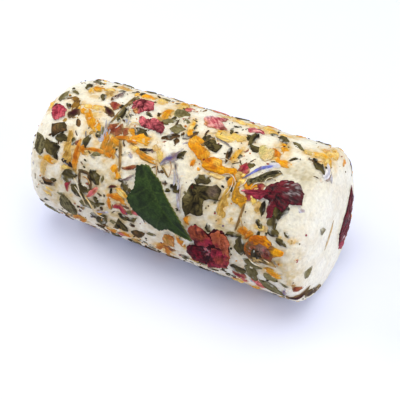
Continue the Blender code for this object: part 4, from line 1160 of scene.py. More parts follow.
def to_arc(points):
    """The places of an outline with the degrees turned to millimetres of arc."""
    return [(first, second / DEGREES_PER_MM) for first, second in points]


def middle_of(like):
    """The middle of a large topping, in mm on the skin."""
    return to_arc([LARGE[like][0] if like in LARGE else LEAF_MIDDLE])[0]


def far_place(place, like, along, degrees, turn, size):
    """Where a place of a near shape lies on its copy on the far side."""
    middle = middle_of(like)
    direction = math.radians(turn)
    ahead = (place[0] - middle[0]) * size
    aside = (place[1] - middle[1]) * size
    return (
        along + ahead * math.cos(direction) - aside * math.sin(direction),
        degrees / DEGREES_PER_MM + ahead * math.sin(direction) + aside * math.cos(direction),
    )


def far_outline(like, *place_turn_size):
    """The outline of a copy on the far side, in mm on the skin."""
    return [far_place(place, like, *place_turn_size) for place in to_arc(OUTLINES[like])]


def far_ground(like, *place_turn_size):
    """The skin under a far copy, by the places of the shape that it copies."""
    return lambda first, second: on_side(*far_place((first, second), like, *place_turn_size))


def side_outlines():
    """The outlines of the large toppings on the side, near and far, in mm on the skin."""
    near = [to_arc(points) for name, points in OUTLINES.items() if name not in CAP_PETALS]
    return near + [far_outline(*far) for far in FAR_TOPPINGS.values()]


def in_the_open(along, degrees, outlines):
    """Whether a place is off the underside and under none of the large toppings."""
    if UNDERSIDE[0] < degrees < UNDERSIDE[1]:
        return False
    arc = degrees / DEGREES_PER_MM
    for points in outlines:
        inside = False
        for i, (x, y) in enumerate(points):
            before_x, before_y = points[i - 1]
            if (y > arc) != (before_y > arc):
                inside ^= along < (before_x - x) * (arc - y) / (before_y - y) + x
        if inside:
            return False
    return True


def nearer(along, degrees, x, y, reach):
    """Whether two places on the side are nearer to each other than reach."""
    return math.hypot(along - x, (degrees - y) / DEGREES_PER_MM) < reach


def hidden_rows():
    """The rule's rows for the side that faces away: kind, look and place."""
    draw = random.Random(HIDDEN_SEED)
    paint = random.Random(HIDDEN_SEED + 1)
    shares = [values[0] for values in HIDDEN_KINDS.values()]
    rows = []
    for _ in range(HIDDEN_TRIES):
        along = draw.uniform(-HIDDEN_REACH, HIDDEN_REACH)
        degrees = draw.uniform(HIDDEN_FROM, HIDDEN_TO)
        kind = draw.choices(list(HIDDEN_KINDS), shares)[0]
        _, mean_length, mean_width, most_bend = HIDDEN_KINDS[kind]
        length = mean_length * draw.uniform(*HIDDEN_LENGTHS)
        width = mean_width * draw.uniform(*HIDDEN_WIDTHS)
        heading = draw.uniform(0, 180)
        bend = draw.uniform(-most_bend, most_bend)
        room = (length + HIDDEN_SPACING) / 2
        if any(nearer(along, degrees, row[2], row[3], room) for row in rows):
            continue
        look = paint.choice(RIM_LOOKS if degrees > RIM_FROM else HIDDEN_LOOKS[kind])
        rows.append((kind, look, along, degrees, length, width, heading, bend))
    return rows


def side_rows():
    """Every small topping on the side: kind, look, along, degrees and the rest of its row."""
    rows = []
    for kind, table in (("flake", FLAKES), ("petal", PETALS), ("stem", STEMS)):
        for look, group in table.items():
            rows += [(kind, look, *row, *[0] * (FULL_ROW - len(row))) for row in group]
    outlines = side_outlines()
    return rows + [row for row in hidden_rows() if in_the_open(row[2], row[3], outlines)]


def shred_rows(count):
    """Rows of fine shreds, drawn by a seeded rule that leaves the bare patches alone."""
    draw = random.Random(SHRED_SEED)
    outlines = side_outlines()
    rows = []
    while len(rows) < count:
        along = draw.uniform(*SHRED_ALONG)
        degrees = draw.uniform(0, 360)
        look, kind = draw.choice(SHRED_LOOKS)
        length = draw.uniform(*SHRED_LENGTHS)
        width = length * draw.uniform(*SHRED_SLIMNESS[kind])
        heading = draw.uniform(0, 180)
        bend = draw.uniform(-SHRED_BEND, SHRED_BEND)
        stay = draw.random()
        if stay > SPARSE_SHARE and along > SPARSE_FROM:
            continue
        if stay > BARE_SHARE and any(nearer(along, degrees, *bare) for bare in BARE):
            continue
        if in_the_open(along, degrees, outlines):
            rows.append((kind, look, along, degrees, length, width, heading, bend))
    return rows


def spread(row, station, offset):
    """Where a point of a topping lies, in mm from its own place: station -1 to 1 along it."""
    length, _, heading, bend = row[-4:]
    turned = math.radians(bend) * station
    if bend:
        curve = length / 2 / math.radians(bend)
        ahead = curve * math.sin(turned)
        aside = curve * (1 - math.cos(turned))
    else:
        ahead = length / 2 * station
        aside = 0.0
    ahead -= offset * math.sin(turned)
    aside += offset * math.cos(turned)
    direction = math.radians(heading)
    return (
        ahead * math.cos(direction) - aside * math.sin(direction),
        ahead * math.sin(direction) + aside * math.cos(direction),
    )


def contour(points, steps, roundness, jag, seed):
    """A finer outline: rounded by roundness from 0 to 1, and ragged by jag in mm."""
    fine = []
    count = len(points)
    for i in range(count):
        p0, p1, p2, p3 = (Vector(points[(i + k - 1) % count]) for k in range(4))
        for j in range(steps):
            t = j / steps
            straight = p1.lerp(p2, t)
            round_one = 0.5 * (
                2 * p1 + (p2 - p0) * t + (2 * p0 - 5 * p1 + 4 * p2 - p3) * t * t
                + (3 * p1 - p0 - 3 * p2 + p3) * t * t * t
            )
            point = straight.lerp(round_one, roundness)
            for scale, share in TEARS:
                spot = Vector((point.x * scale, point.y * scale, seed))
                stray = Vector((noise.noise(spot), noise.noise(spot + Vector((0, 0, 9)))))
                point += jag * share * stray
            fine.append((point.x, point.y))
    return fine


# Sheets


def start_mesh():
    """An empty mesh with room for a colour and a flat place at each vertex."""
    bm = bmesh.new()
    bm.verts.layers.float_color.new("paint")
    bm.verts.layers.float_vector.new("flat")
    return bm


def colours(context):
    """The palette as vectors in linear colour."""
    values = context.scene.cheese_colours
    return {name: Vector(getattr(values, name)) for name in PALETTE}


def lay_sheet(bm, across, up, shape, wall):
    """Adds a grid of points that shape(u, v) places, paints and writes flat, as a thin solid."""
    sheet = start_mesh()
    paint = sheet.verts.layers.float_color["paint"]
    flat = sheet.verts.layers.float_vector["flat"]
    bmesh.ops.create_grid(sheet, x_segments=across, y_segments=up, size=1)
    for vertex in sheet.verts:
        point, colour, plan = shape(vertex.co.x, vertex.co.y)
        point.z = max(FLOOR_GAP, point.z)
        vertex.co = point
        vertex[paint] = (*colour, 1)
        vertex[flat] = (*plan, 0)
    bmesh.ops.remove_doubles(sheet, verts=sheet.verts, dist=WELD)
    sheet.normal_update()
    facing = sum(
        face.calc_area() * face.normal.dot(outward(face.calc_center_median()))
        for face in sheet.faces
    )
    if facing < 0:
        bmesh.ops.reverse_faces(sheet, faces=sheet.faces)
        sheet.normal_update()
    normals = {tuple(vertex.co): vertex.normal.copy() for vertex in sheet.verts}
    made = bmesh.ops.extrude_face_region(sheet, geom=sheet.faces[:], use_keep_orig=True)
    for vertex in made["geom"]:
        if isinstance(vertex, bmesh.types.BMVert):
            vertex.co -= normals[tuple(vertex.co)] * wall
    bmesh.ops.recalc_face_normals(sheet, faces=sheet.faces)
    piece = bpy.data.meshes.new("sheet")
    sheet.to_mesh(piece)
    sheet.free()
    bm.from_mesh(piece)
    bpy.data.meshes.remove(piece)


def lay_strip(bm, ground, kind, row, tones, lift, wall, fold, soft, arch=0.0):
    """A small flake, petal or stem pressed in the skin, with the frame's own widths.

    tones are its dark and light colours and the colour that its edges fade to. soft, from 0 to 1,
    is how far its edges sink in the curd, and arch how far its middle rises in mm.
    """
    draw = random.Random(f"{kind} {row[0]:.1f} {row[1]:.1f}")
    plan, ragged, torn = PLANS[kind]
    widths = [[w * (1 + draw.uniform(-ragged, ragged)) for w in plan] for _ in range(2)]
    length, width = row[-4:-2]
    width *= WIDEN
    place = row[-6], row[-5] if ground is not on_side else row[-5] / DEGREES_PER_MM
    fold *= draw.choice(FOLD_WAYS)
    arch += draw.uniform(*ARCHES)
    tilt = draw.uniform(*TILTS)
    bright = draw.uniform(*SHADES)
    petal = kind == "petal"
    sway = draw.uniform(*SWAYS) if petal else 0.0
    wave = draw.uniform(*WAVES) if petal else 0.0
    twist = draw.uniform(*TWISTS) if petal else 0.0
    seed = draw.uniform(*SEEDS)
    half_shade = draw.choice(HALF_SHADES) if kind == "flake" else 0.0
    cut = draw.uniform(*CUTS) * width / length if kind == "flake" else 0.0
    dark, light, edge = tones
    width *= 1 + SOFT_WIDEN * soft

    def shape(station, side):
        pair = widths[0 if side < 0 else 1]
        rank = (station + 1) / 2 * (len(pair) - 1)
        low = min(len(pair) - 2, int(rank))
        half = pair[low] + (pair[low + 1] - pair[low]) * (rank - low)
        half *= 1 + torn * noise.noise(Vector((station * length / 1.1, side * 2, seed)))
        offset = side * half * width / 2 + sway * width * math.sin(2.4 * station + seed)
        reach = station * (1 + 0.6 * torn * noise.noise(Vector((side * 1.7, station, seed + 9))))
        ahead, aside = spread(row, reach + cut * side * abs(station), offset)
        along_it = station * length / 2
        first = place[0] + ahead
        second = place[1] + aside
        streak = noise.noise(Vector((along_it / 2.2, offset / 0.34, seed)))
        ripple = math.sin(along_it * 2.1 + seed)
        outer = max(abs(station), abs(side))

        height = lift + arch * (1 - station * station) + fold * (abs(side) - 0.4)
        height += (tilt + twist * ripple) * side + wave * ripple
        height += 0.08 * (streak + patches(first, second, 1.5, seed + 3))
        height = max(LEAST_HEIGHT, height)
        height -= soft * (height + 0.2) * outer ** 4
        if outer > RIM:
            height -= RIM_DROP * (1 - soft)

        share = 0.5 + 0.95 * streak + 0.55 * patches(along_it, offset, 1.0, seed + 20)
        # Painted shade: one half of a flake is lighter than the other, as the two facets of its fold
        share += 0.15 * station + half_shade * (1 if side > 0.05 else -1)
        # Painted highlight and shade: a petal is lighter towards its edges and on the crests of its
        # waves, darker down its middle
        if petal:
            share += 0.35 * (abs(side) - 0.5) + 0.3 * ripple
        colour = mix(dark, light, share) * bright
        smear = patches(first, second, 1.4, SMEAR_SEED) + 0.3 * outer
        colour = mix(colour, edge, smooth_step((smear - 0.42) / 0.3) * outer * 0.6)
        colour = mix(colour, edge, 0.75 * soft * outer ** 3)
        return over(ground, first, second, height), colour, (along_it + seed, offset)

    columns = 4 * max(1, min(4, round(length / COLUMN_LENGTH)))
    if length < SHORT:
        columns = 2 if petal else 4
    rows = max(2, min(8, round(width / (ROW_WIDTH - 0.15 * soft))))
    lay_sheet(bm, columns, rows, shape, wall)


def lay_outline(bm, ground, points, middle, crumple, rise, tones, crinkle, dabs, wall,
                rim_lift=0.22, roundness=0.75, jag=0.15, rings=8, steps=4, seed=1.0, glints=()):
    """A large topping: a crinkled sheet whose spokes run from its middle to its outline.

    crumple, rise and rim_lift are heights in mm, and crinkle is the crinkles' size, stretch, heading and
    height; their folds get painted shade and their ridges painted highlight. dabs and glints are round
    patches of colour; the glints are painted highlights, only along thin curvy lines.
    """
    fine = contour(points, steps, roundness, jag, seed)
    spokes = len(fine)
    dark, light, rim = tones
    size, stretch, heading, height = crinkle

    def shape(x, y):
        spoke = round((x + 1) / 2 * spokes) % spokes
        ring = (y + 1) / 2
        first = middle[0] + (fine[spoke][0] - middle[0]) * ring
        second = middle[1] + (fine[spoke][1] - middle[1]) * ring
        fold = 0.5 + patches(first, second, 2.4, seed + 7)
        value = ridges(first, second, size, stretch, heading, seed)
        lift = rim_lift + rise * (1 - ring * ring) + crumple * ring * fold
        lift += height * (value - 0.45) * (1.1 - 0.5 * ring)
        if ring > RIM:
            lift -= RIM_DROP
        shade = patches(first, second, 2.0, seed + 3)
        # Painted shade and highlight: darker in the crinkles' folds, lighter on their ridges, over random
        # patches of the two colours
        colour = mix(dark, light, 0.42 + 1.15 * (value - 0.5) + 0.8 * shade)
        colour = mix(colour, rim, max(0.0, ring - 0.86) * 5 * (0.6 + shade))
        for across, up, reach, tone, strength in dabs:
            gap = math.hypot(first - across, second - up) / reach
            soft = smooth_step(1.4 - gap)
            if soft:
                # A dab, too, is painted darker in the folds and lighter on the ridges
                colour = mix(colour, tone * (0.6 + 0.7 * value), strength * soft)
        # Painted highlights, in thin curvy lines
        for across, up, reach, tone, strength in glints:
            gap = math.hypot(first - across, second - up) / reach
            warp = patches(first, second, 1, seed + 40)
            spot = Vector((first / 1.7 + warp, second / 1.3 - warp, seed + 30))
            vein = 1 - smooth_step(abs(noise.noise(spot)) / 0.12)
            colour = mix(colour, tone, strength * vein * smooth_step(1.6 - gap))
        return over(ground, first, second, lift), colour, (first, second)

    lay_sheet(bm, spokes, rings, shape, wall)


def finish_piece(name, bm, material, nodes):
    """Turns the mesh to metres, gives it its finish and sets it in the frame."""
    bmesh.ops.scale(bm, vec=(MM, MM, MM), verts=bm.verts)
    mesh = bpy.data.meshes.new(name)
    bm.to_mesh(mesh)
    bm.free()
    mesh.shade_smooth()
    mesh.materials.append(material)
    obj = bpy.data.objects.new(name, mesh)
    bpy.context.scene.collection.objects.link(obj)
    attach(obj, "root")
    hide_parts(*nodes)
    return obj


# Materials


def add(tree, kind, inputs=None, **settings):
    """Adds a node with its settings; each input is a value or the socket that feeds it."""
    node = tree.nodes.new(kind)
    for name, value in settings.items():
        setattr(node, name, value)
    for name, value in (inputs or {}).items():
        if isinstance(value, bpy.types.NodeSocket):
            tree.links.new(value, node.inputs[name])
        else:
            node.inputs[name].default_value = value
    return node


def per_mm(size):
    """The texture scale that repeats every so many millimetres on Object coordinates."""
    return 1 / (size * MM)


def painted_material(name):
    """A new material with its tree, the colour painted on the mesh, and Object coordinates."""
    material = bpy.data.materials.new(name)
    material.use_nodes = True
    tree = material.node_tree
    tree.nodes.clear()
    paint = add(tree, "ShaderNodeAttribute", attribute_name="paint").outputs["Color"]
    return material, tree, paint, add(tree, "ShaderNodeTexCoord").outputs["Object"]


def curd_material(beige):
    """Fresh goat curd, moulded and a little dry: soft light inside it, a fine matte grain."""
    material, tree, paint, place = painted_material("fresh goat curd, moulded")
    spots = add(
        tree, "ShaderNodeTexNoise",
        {"Vector": place, "Scale": per_mm(6.0), "Detail": 3.0, "Roughness": 0.6},
    )
    spot_share = add(
        tree, "ShaderNodeMapRange",
        {"Value": spots.outputs["Fac"], "From Min": 0.4, "From Max": 0.72, "To Max": 0.3},
    )
    warm = add(
        tree, "ShaderNodeMix", {0: spot_share.outputs[0], 6: paint, 7: (*beige, 1)},
        data_type="RGBA",
    )
    # Grains of curd are about 0.9 mm across, and the finest ones 0.3 mm
    grain = add(
        tree, "ShaderNodeTexNoise",
        {"Vector": place, "Scale": per_mm(0.9), "Detail": 4.0, "Roughness": 0.6},
    ).outputs["Fac"]
    speckle = add(
        tree, "ShaderNodeMapRange",
        {"Value": grain, "From Min": 0.35, "From Max": 0.65, "To Min": 0.88, "To Max": 1.04},
    )
    cells = add(tree, "ShaderNodeTexVoronoi", {"Vector": place, "Scale": per_mm(1.3)})
    pores = add(
        tree, "ShaderNodeMapRange",
        {"Value": cells.outputs["Distance"], "From Min": 0.0, "From Max": 0.3},
    ).outputs[0]
    # Painted shade: the curd is darker in the pits that the bump below sinks
    pit_shade = add(tree, "ShaderNodeMapRange", {"Value": pores, "To Min": 0.86, "To Max": 1.0})
    both = add(
        tree, "ShaderNodeMath", {0: pit_shade.outputs[0], 1: speckle.outputs[0]}, operation="MULTIPLY"
    )
    shaded = add(
        tree, "ShaderNodeVectorMath", {0: warm.outputs[2], "Scale": both.outputs[0]},
        operation="SCALE",
    )
    grainy = add(
        tree, "ShaderNodeBump", {"Height": grain, "Strength": 0.75, "Distance": 0.45 * MM}
    )
    pitted = add(
        tree, "ShaderNodeBump",
        {
            "Height": pores, "Strength": 0.45, "Distance": 0.2 * MM,
            "Normal": grainy.outputs["Normal"],
        },
    )
    shader = add(
        tree, "ShaderNodeBsdfPrincipled",
        {
            "Base Color": shaded.outputs[0],
            "Roughness": 0.58,
            "IOR": 1.4,
            "Specular IOR Level": 0.35,
            "Subsurface Weight": 0.25,
            "Subsurface Radius": (1.0, 0.85, 0.6),
            "Subsurface Scale": 1.2 * MM,
            "Normal": pitted.outputs["Normal"],
        },
    )
    add(tree, "ShaderNodeOutputMaterial", {"Surface": shader.outputs["BSDF"]})
    return material


def plant_material(name, roughness, fibre, stretch, contrast, depth, finish):
    """Dried or fresh plant tissue painted on its mesh, with fibres of one width along it.

    fibre is their width in mm, stretch how much longer they are than wide, contrast how much
    they change the colour, and depth the height of the relief in mm. finish holds the shader's
    own values by socket name.
    """
    material, tree, paint, place = painted_material(name)
    flat = add(tree, "ShaderNodeAttribute", attribute_name="flat")
    along = add(
        tree, "ShaderNodeMapping",
        {"Vector": flat.outputs["Vector"], "Scale": (1 / (fibre * stretch), 1 / fibre, 1.0)},
    )
    fibres = add(
        tree, "ShaderNodeTexNoise",
        {"Vector": along.outputs["Vector"], "Scale": 1.0, "Detail": 3.0, "Roughness": 0.55},
    ).outputs["Fac"]
    grit = add(
        tree, "ShaderNodeTexNoise",
        {"Vector": place, "Scale": per_mm(0.5), "Detail": 3.0, "Roughness": 0.6},
    ).outputs["Fac"]
    light = add(
        tree, "ShaderNodeMapRange",
        {
            "Value": fibres, "From Min": 0.3, "From Max": 0.7,
            "To Min": 1 - contrast, "To Max": 1 + contrast * 0.6,
        },
    )
    fleck = add(
        tree, "ShaderNodeMapRange",
        {"Value": grit, "From Min": 0.3, "From Max": 0.7, "To Min": 0.82, "To Max": 1.14},
    )
    both = add(
        tree, "ShaderNodeMath", {0: light.outputs[0], 1: fleck.outputs[0]}, operation="MULTIPLY"
    )
    colour = add(
        tree, "ShaderNodeVectorMath", {0: paint, "Scale": both.outputs[0]}, operation="SCALE"
    )
    ribs = add(tree, "ShaderNodeBump", {"Height": fibres, "Strength": 0.7, "Distance": depth * MM})
    rough = add(
        tree, "ShaderNodeBump",
        {
            "Height": grit, "Strength": 0.6, "Distance": depth * 0.7 * MM,
            "Normal": ribs.outputs["Normal"],
        },
    )
    shader = add(
        tree, "ShaderNodeBsdfPrincipled",
        {
            "Base Color": colour.outputs[0],
            "Roughness": roughness,
            "Normal": rough.outputs["Normal"],
            **finish,
        },
    )
    add(tree, "ShaderNodeOutputMaterial", {"Surface": shader.outputs["BSDF"]})
    return material


# Each material's name, roughness, fibre width, stretch, contrast, relief and shader values
PLANT_FINISHES = {
    # Dried herb leaf, crumbled: matte, with a papery crackle
    "leaf": ("dried herb leaf, crumbled", 0.78, 0.35, 3.0, 0.4, 0.25, {"Specular IOR Level": 0.12}),
    # Fresh herb leaf: a faint waxy gloss over fine veins and a mottled blade
    "fresh": ("fresh herb leaf, waxy", 0.6, 0.45, 1.5, 0.45, 0.2, {"Specular IOR Level": 0.15}),
    # Dried marigold petal: satin, and it lets some light through
    "marigold": (
        "dried marigold petal, satin", 0.55, 0.4, 7.0, 0.3, 0.15,
        {
            "Specular IOR Level": 0.12,
            "Subsurface Weight": 0.15,
            "Subsurface Radius": (1.0, 0.45, 0.1),
            "Subsurface Scale": 0.6 * MM,
        },
    ),
    # Dried rose petal: velvety and dull, dark in its folds
    "rose": ("dried rose petal, velvety", 0.7, 0.4, 4.0, 0.4, 0.25, {"Specular IOR Level": 0.12}),
    # Rose petal wet with whey: dark, with small sharp highlights
    "wine": (
        "moist rose petal, glossy", 0.45, 0.5, 3.0, 0.5, 0.4,
        {"Specular IOR Level": 0.15, "Coat Weight": 0.12, "Coat Roughness": 0.18},
    ),
    # Cornflower floret: thin, with lengthwise stripes
    "floret": (
        "dried cornflower floret, striped", 0.6, 0.3, 10.0, 0.3, 0.08, {"Specular IOR Level": 0.15},
    ),
    # Dried stem: long stiff fibres
    "stem": ("dried herb stem, fibrous", 0.7, 0.25, 14.0, 0.35, 0.12, {"Specular IOR Level": 0.15}),
}


def plant_finish(key):
    """A plant material by its short name, made once."""
    values = PLANT_FINISHES[key]
    return bpy.data.materials.get(values[0]) or plant_material(*values)


# Operators


class MakeCurd(bpy.types.Operator):
    """Makes the cheese itself, with the dints of its toppings"""

    bl_idname = "cheese.make_curd"
    bl_label = "Curd"

    def execute(self, context):
        sizes = context.scene.cheese_sizes
        tones = colours(context)
        bm = start_mesh()
        paint = bm.verts.layers.float_color["paint"]
        bmesh.ops.create_uvsphere(bm, u_segments=sizes.facets, v_segments=sizes.rings, radius=1)
        plan = np.array([self.place(vertex) for vertex in bm.verts])
        bmesh.ops.recalc_face_normals(bm, faces=bm.faces)
        bm.normal_update()
        press, tint, strength, close = self.dints(plan, tones)
        pits = self.pits(np.array([vertex.co for vertex in bm.verts]), sizes.pits)
        for i, vertex in enumerate(bm.verts):
            colour = self.colour(vertex.co, Vector(tint[i]), strength[i], close[i], tones)
            spot = vertex.co / sizes.grain_size
            grain = sizes.grain * (noise.noise(spot) + 0.5 * noise.noise(spot * 2.3))
            grain += sizes.lumps * max(0.0, lumps(vertex.co, 3.3)) * (1 - close[i])
            open_here = 1 - smooth_step(-2.5 * press[i])
            vertex.co += vertex.normal * (grain * open_here + sizes.press * press[i] - pits[i])
            vertex.co.z = max(0.0, vertex.co.z)
            vertex[paint] = (*colour, 1)
        material = curd_material(tones["curd_beige"])
        finish_piece("curd", bm, material, ["cheese_log"])
        return {"FINISHED"}

    def place(self, vertex):
        """Sets a vertex of the unit ball on the skin, and gives its place in the plan.

        That is its place along, round, across and up, the end cap that it is on, if any, and how
        much of the toppings' juice it takes.
        """
        angle = math.atan2(vertex.co.y, vertex.co.x) % math.tau
        share = 1 - math.acos(max(-1.0, min(1.0, vertex.co.z))) / math.pi
        along, radius = profile(share, angle)
        radius *= taper(along)
        across, height = radius * math.cos(angle), radius * math.sin(angle)
        vertex.co = settle(along, across, height)
        end = 1 if share > PROFILE_STOPS[3] else -1 if share < PROFILE_STOPS[2] else 0
        onto = smooth_step((radius / RADIUS / taper(along) - JUICE_FROM) / JUICE_FADE)
        return along, angle * RADIUS, across, height, end, onto

    def colour(self, point, tint, strength, close, tones):
        """The curd's colour: its stain (on the near side painted shade), then its beige mottle, then
        blotches near the toppings.
        """
        patchy = 0.85 + 0.8 * lumps(point, 1.8) + 0.5 * lumps(point, 0.7)
        colour = mix(tones["curd"], tint, min(1.0, strength * max(0.3, patchy)))
        mottle = lumps(point, 4.6) + 0.6 * lumps(point, 1.7)
        colour = mix(colour, tones["curd_mottle_and_painted_shade"], 0.22 * smooth_step(mottle + 0.25))
        blotch = lumps(point, 0.9) + 0.6 * lumps(point, 0.45)
        depth = smooth_step((blotch - 0.5 + 0.35 * close) / 0.3) * close
        pick = 0.5 + 1.1 * noise.noise(point / 2.3 + Vector((7.0, 0.0, 0.0)))
        hue = BLOTCHES[max(0, min(len(BLOTCHES) - 1, int(pick * len(BLOTCHES))))]
        return mix(colour, tones[hue], 0.55 * depth)

    def dints(self, plan, tones):
        """How each vertex moves by the toppings near it, and the colour it takes from them."""
        along_it, round_it = plan[:, 0], plan[:, 1]
        press = np.zeros(len(plan))
        tint = np.tile(np.array(tones["curd"]), (len(plan), 1))
        strength = np.zeros(len(plan))
        close = np.zeros(len(plan))
        for _, look, along, degrees, length, width, heading, bend in side_rows():
            gap_x = along_it - along
            gap_y = self.wrapped(round_it - degrees / DEGREES_PER_MM)
            near = np.flatnonzero((abs(gap_x) < length) & (abs(gap_y) < length))
            turn = math.radians(heading)
            run = gap_x[near] * math.cos(turn) + gap_y[near] * math.sin(turn)
            side = gap_y[near] * math.cos(turn) - gap_x[near] * math.sin(turn)
            side -= math.radians(bend) * run * run / length
            ratio = np.hypot(run / (length / 2), side / (width / 2))
            beyond = (ratio - 1) * width / 2
            press[near] += np.where(ratio < 1, SMALL_DINT, self.swell(beyond, *SMALL_SWELL))
            close[near] = np.maximum(close[near], np.exp(-np.clip(beyond, 0, None) / 1.1))
            tone, amount, far = JUICES[LOOKS[look][0]]
            far *= min(1.0, width / 2.4)
            soak = amount * np.exp(-np.clip(beyond, 0, None) / far)
            tint[near[soak > strength[near]]] = np.array(tones[tone])
            strength[near] = np.maximum(strength[near], soak)
        everywhere = np.ones(len(plan), bool)
        for name, points in OUTLINES.items():
            if name in CAP_PETALS:
                on_cap_here = plan[:, 4] == CAP_PETALS[name]
                x, y = LARGE[name][0]
                self.sink(press, plan[:, 2] - x, plan[:, 3] - y, on_cap_here, points, (x, y))
            else:
                x, y = middle_of(name)
                self.sink(press, along_it - x, round_it - y, everywhere, to_arc(points), (x, y))
        for far in FAR_TOPPINGS.values():
            x, y = far[1], far[2] / DEGREES_PER_MM
            gap_y = self.wrapped(round_it - y)
            self.sink(press, along_it - x, gap_y, everywhere, far_outline(*far), (x, y))
        # Stains; the beige ones on the near side are painted shade
        for tone, stains in STAINS.items():
            for along, degrees, reach, amount in stains:
                gap = np.hypot(along_it - along, round_it - degrees / DEGREES_PER_MM) / reach
                soak = amount * np.exp(-gap * gap * 1.5)
                tint[soak > strength] = np.array(tones[tone])
                strength = np.maximum(strength, soak)
        onto = plan[:, 5]
        return np.clip(press, *PRESS_RANGE), tint, strength * onto, close * onto

    def wrapped(self, gap):
        """A gap round the log, taken the short way."""
        return (gap + ROUND / 2) % ROUND - ROUND / 2

    def swell(self, beyond, height, distance, width):
        """How far the curd rises so many millimetres beyond a topping's edge."""
        return np.exp(-((beyond - distance) / width) ** 2) * height

    def sink(self, press, gap_x, gap_y, side, outline, middle):
        """Presses one outline in, as seen from its middle."""
        spokes = [(x - middle[0], y - middle[1]) for x, y in outline]
        angles = np.array([math.atan2(y, x) for x, y in spokes])
        reach = np.array([math.hypot(x, y) for x, y in spokes])
        order = np.argsort(angles)
        near = np.flatnonzero(side & (np.hypot(gap_x, gap_y) < reach.max() + 1.5))
        angle = np.arctan2(gap_y[near], gap_x[near])
        edge = np.interp(angle, angles[order], reach[order], period=math.tau)
        beyond = np.hypot(gap_x[near], gap_y[near]) - edge
        swollen = press[near] + self.swell(beyond, *LARGE_SWELL)
        press[near] = np.where(beyond < 0, LARGE_DINT, swollen)

    def pits(self, places, count):
        """Depth of the small pits and cracks at each vertex, in mm."""
        draw = random.Random(PIT_SEED)
        depth = np.zeros(len(places))
        for _ in range(count):
            centre = places[draw.randrange(len(places))]
            reach = draw.uniform(*PIT_REACHES)
            gap = np.linalg.norm(places - centre, axis=1) / reach
            depth += draw.uniform(*PIT_DEPTHS) * np.exp(-gap * gap * 2)
        return depth


class MakeSmallToppings(bpy.types.Operator):
    """Makes the small petals, leaf flakes, florets and stems, one piece for each kind"""

    bl_idname = "cheese.make_small_toppings"
    bl_label = "Small Toppings"

    def execute(self, context):
        sizes = context.scene.topping_sizes
        tones = colours(context)
        meshes = {key: start_mesh() for key in SMALL_TOPPINGS}
        for kind, look, *row in side_rows() + shred_rows(sizes.shreds):
            material, dark, light = LOOKS[look]
            _, edge, soft, fold = SMALL_TOPPINGS[material]
            wall = sizes.leaf_wall if material == "leaf" else sizes.petal_wall
            lift = sizes.lift if row[2] > LOW_LENGTH else sizes.lift * LOW_SHARE
            lay_strip(
                meshes[material], on_side, kind, row, (tones[dark], tones[light], tones[edge]),
                lift, wall, fold, soft, HAIR_ARCH if look in HAIRS else 0.0,
            )
        for look, end, *row in CAP_FLAKES:
            material, dark, light = LOOKS[look]
            kind = "stem" if material == "stem" else "petal"
            lay_strip(
                meshes[material], CAPS[end], kind, (end, *row),
                (tones[dark], tones[light], tones["curd"]), sizes.lift, sizes.petal_wall,
                CAP_FOLD, CAP_SOFTNESS,
            )
        for key, (name, *_) in SMALL_TOPPINGS.items():
            finish_piece(name, meshes[key], plant_finish(key), ["cheese_log"])
        return {"FINISHED"}


class MakeCrumbs(bpy.types.Operator):
    """Makes the crumbs of leaf and petal between the toppings"""

    bl_idname = "cheese.make_crumbs"
    bl_label = "Crumbs"

    def execute(self, context):
        tones = colours(context)
        bm = start_mesh()
        paint = bm.verts.layers.float_color["paint"]
        draw = random.Random(CRUMB_SEED)
        outlines = side_outlines()
        for _ in range(context.scene.topping_sizes.crumbs):
            along = draw.uniform(-CRUMB_REACH, CRUMB_REACH)
            arc = draw.uniform(0, ROUND)
            if not in_the_open(along, arc * DEGREES_PER_MM, outlines):
                continue
            size = draw.uniform(*CRUMB_SIZES) * draw.uniform(*CRUMB_STRAY)
            flatness = draw.uniform(*CRUMB_FLATNESS)
            slim = draw.uniform(*CRUMB_SLIMNESS)
            spin = draw.uniform(0, math.tau)
            _, dark, light = LOOKS[draw.choice(CRUMB_LOOKS)]
            colour = mix(tones[dark], tones[light], draw.random())
            place = over(on_side, along, arc, CRUMB_LIFT)
            turn = skin_normal(on_side, along, arc).to_track_quat("Z", "Y").to_matrix().to_4x4()
            matrix = (
                Matrix.Translation(place) @ turn @ Matrix.Rotation(spin, 4, "Z")
                @ Matrix.Diagonal((size, size * slim, size * flatness, 1))
            )
            made = bmesh.ops.create_icosphere(bm, subdivisions=1, radius=1, matrix=matrix)
            for vertex in made["verts"]:
                vertex[paint] = (*colour, 1)
        finish_piece("crumbs", bm, plant_finish("leaf"), ["cheese_log"])
        return {"FINISHED"}


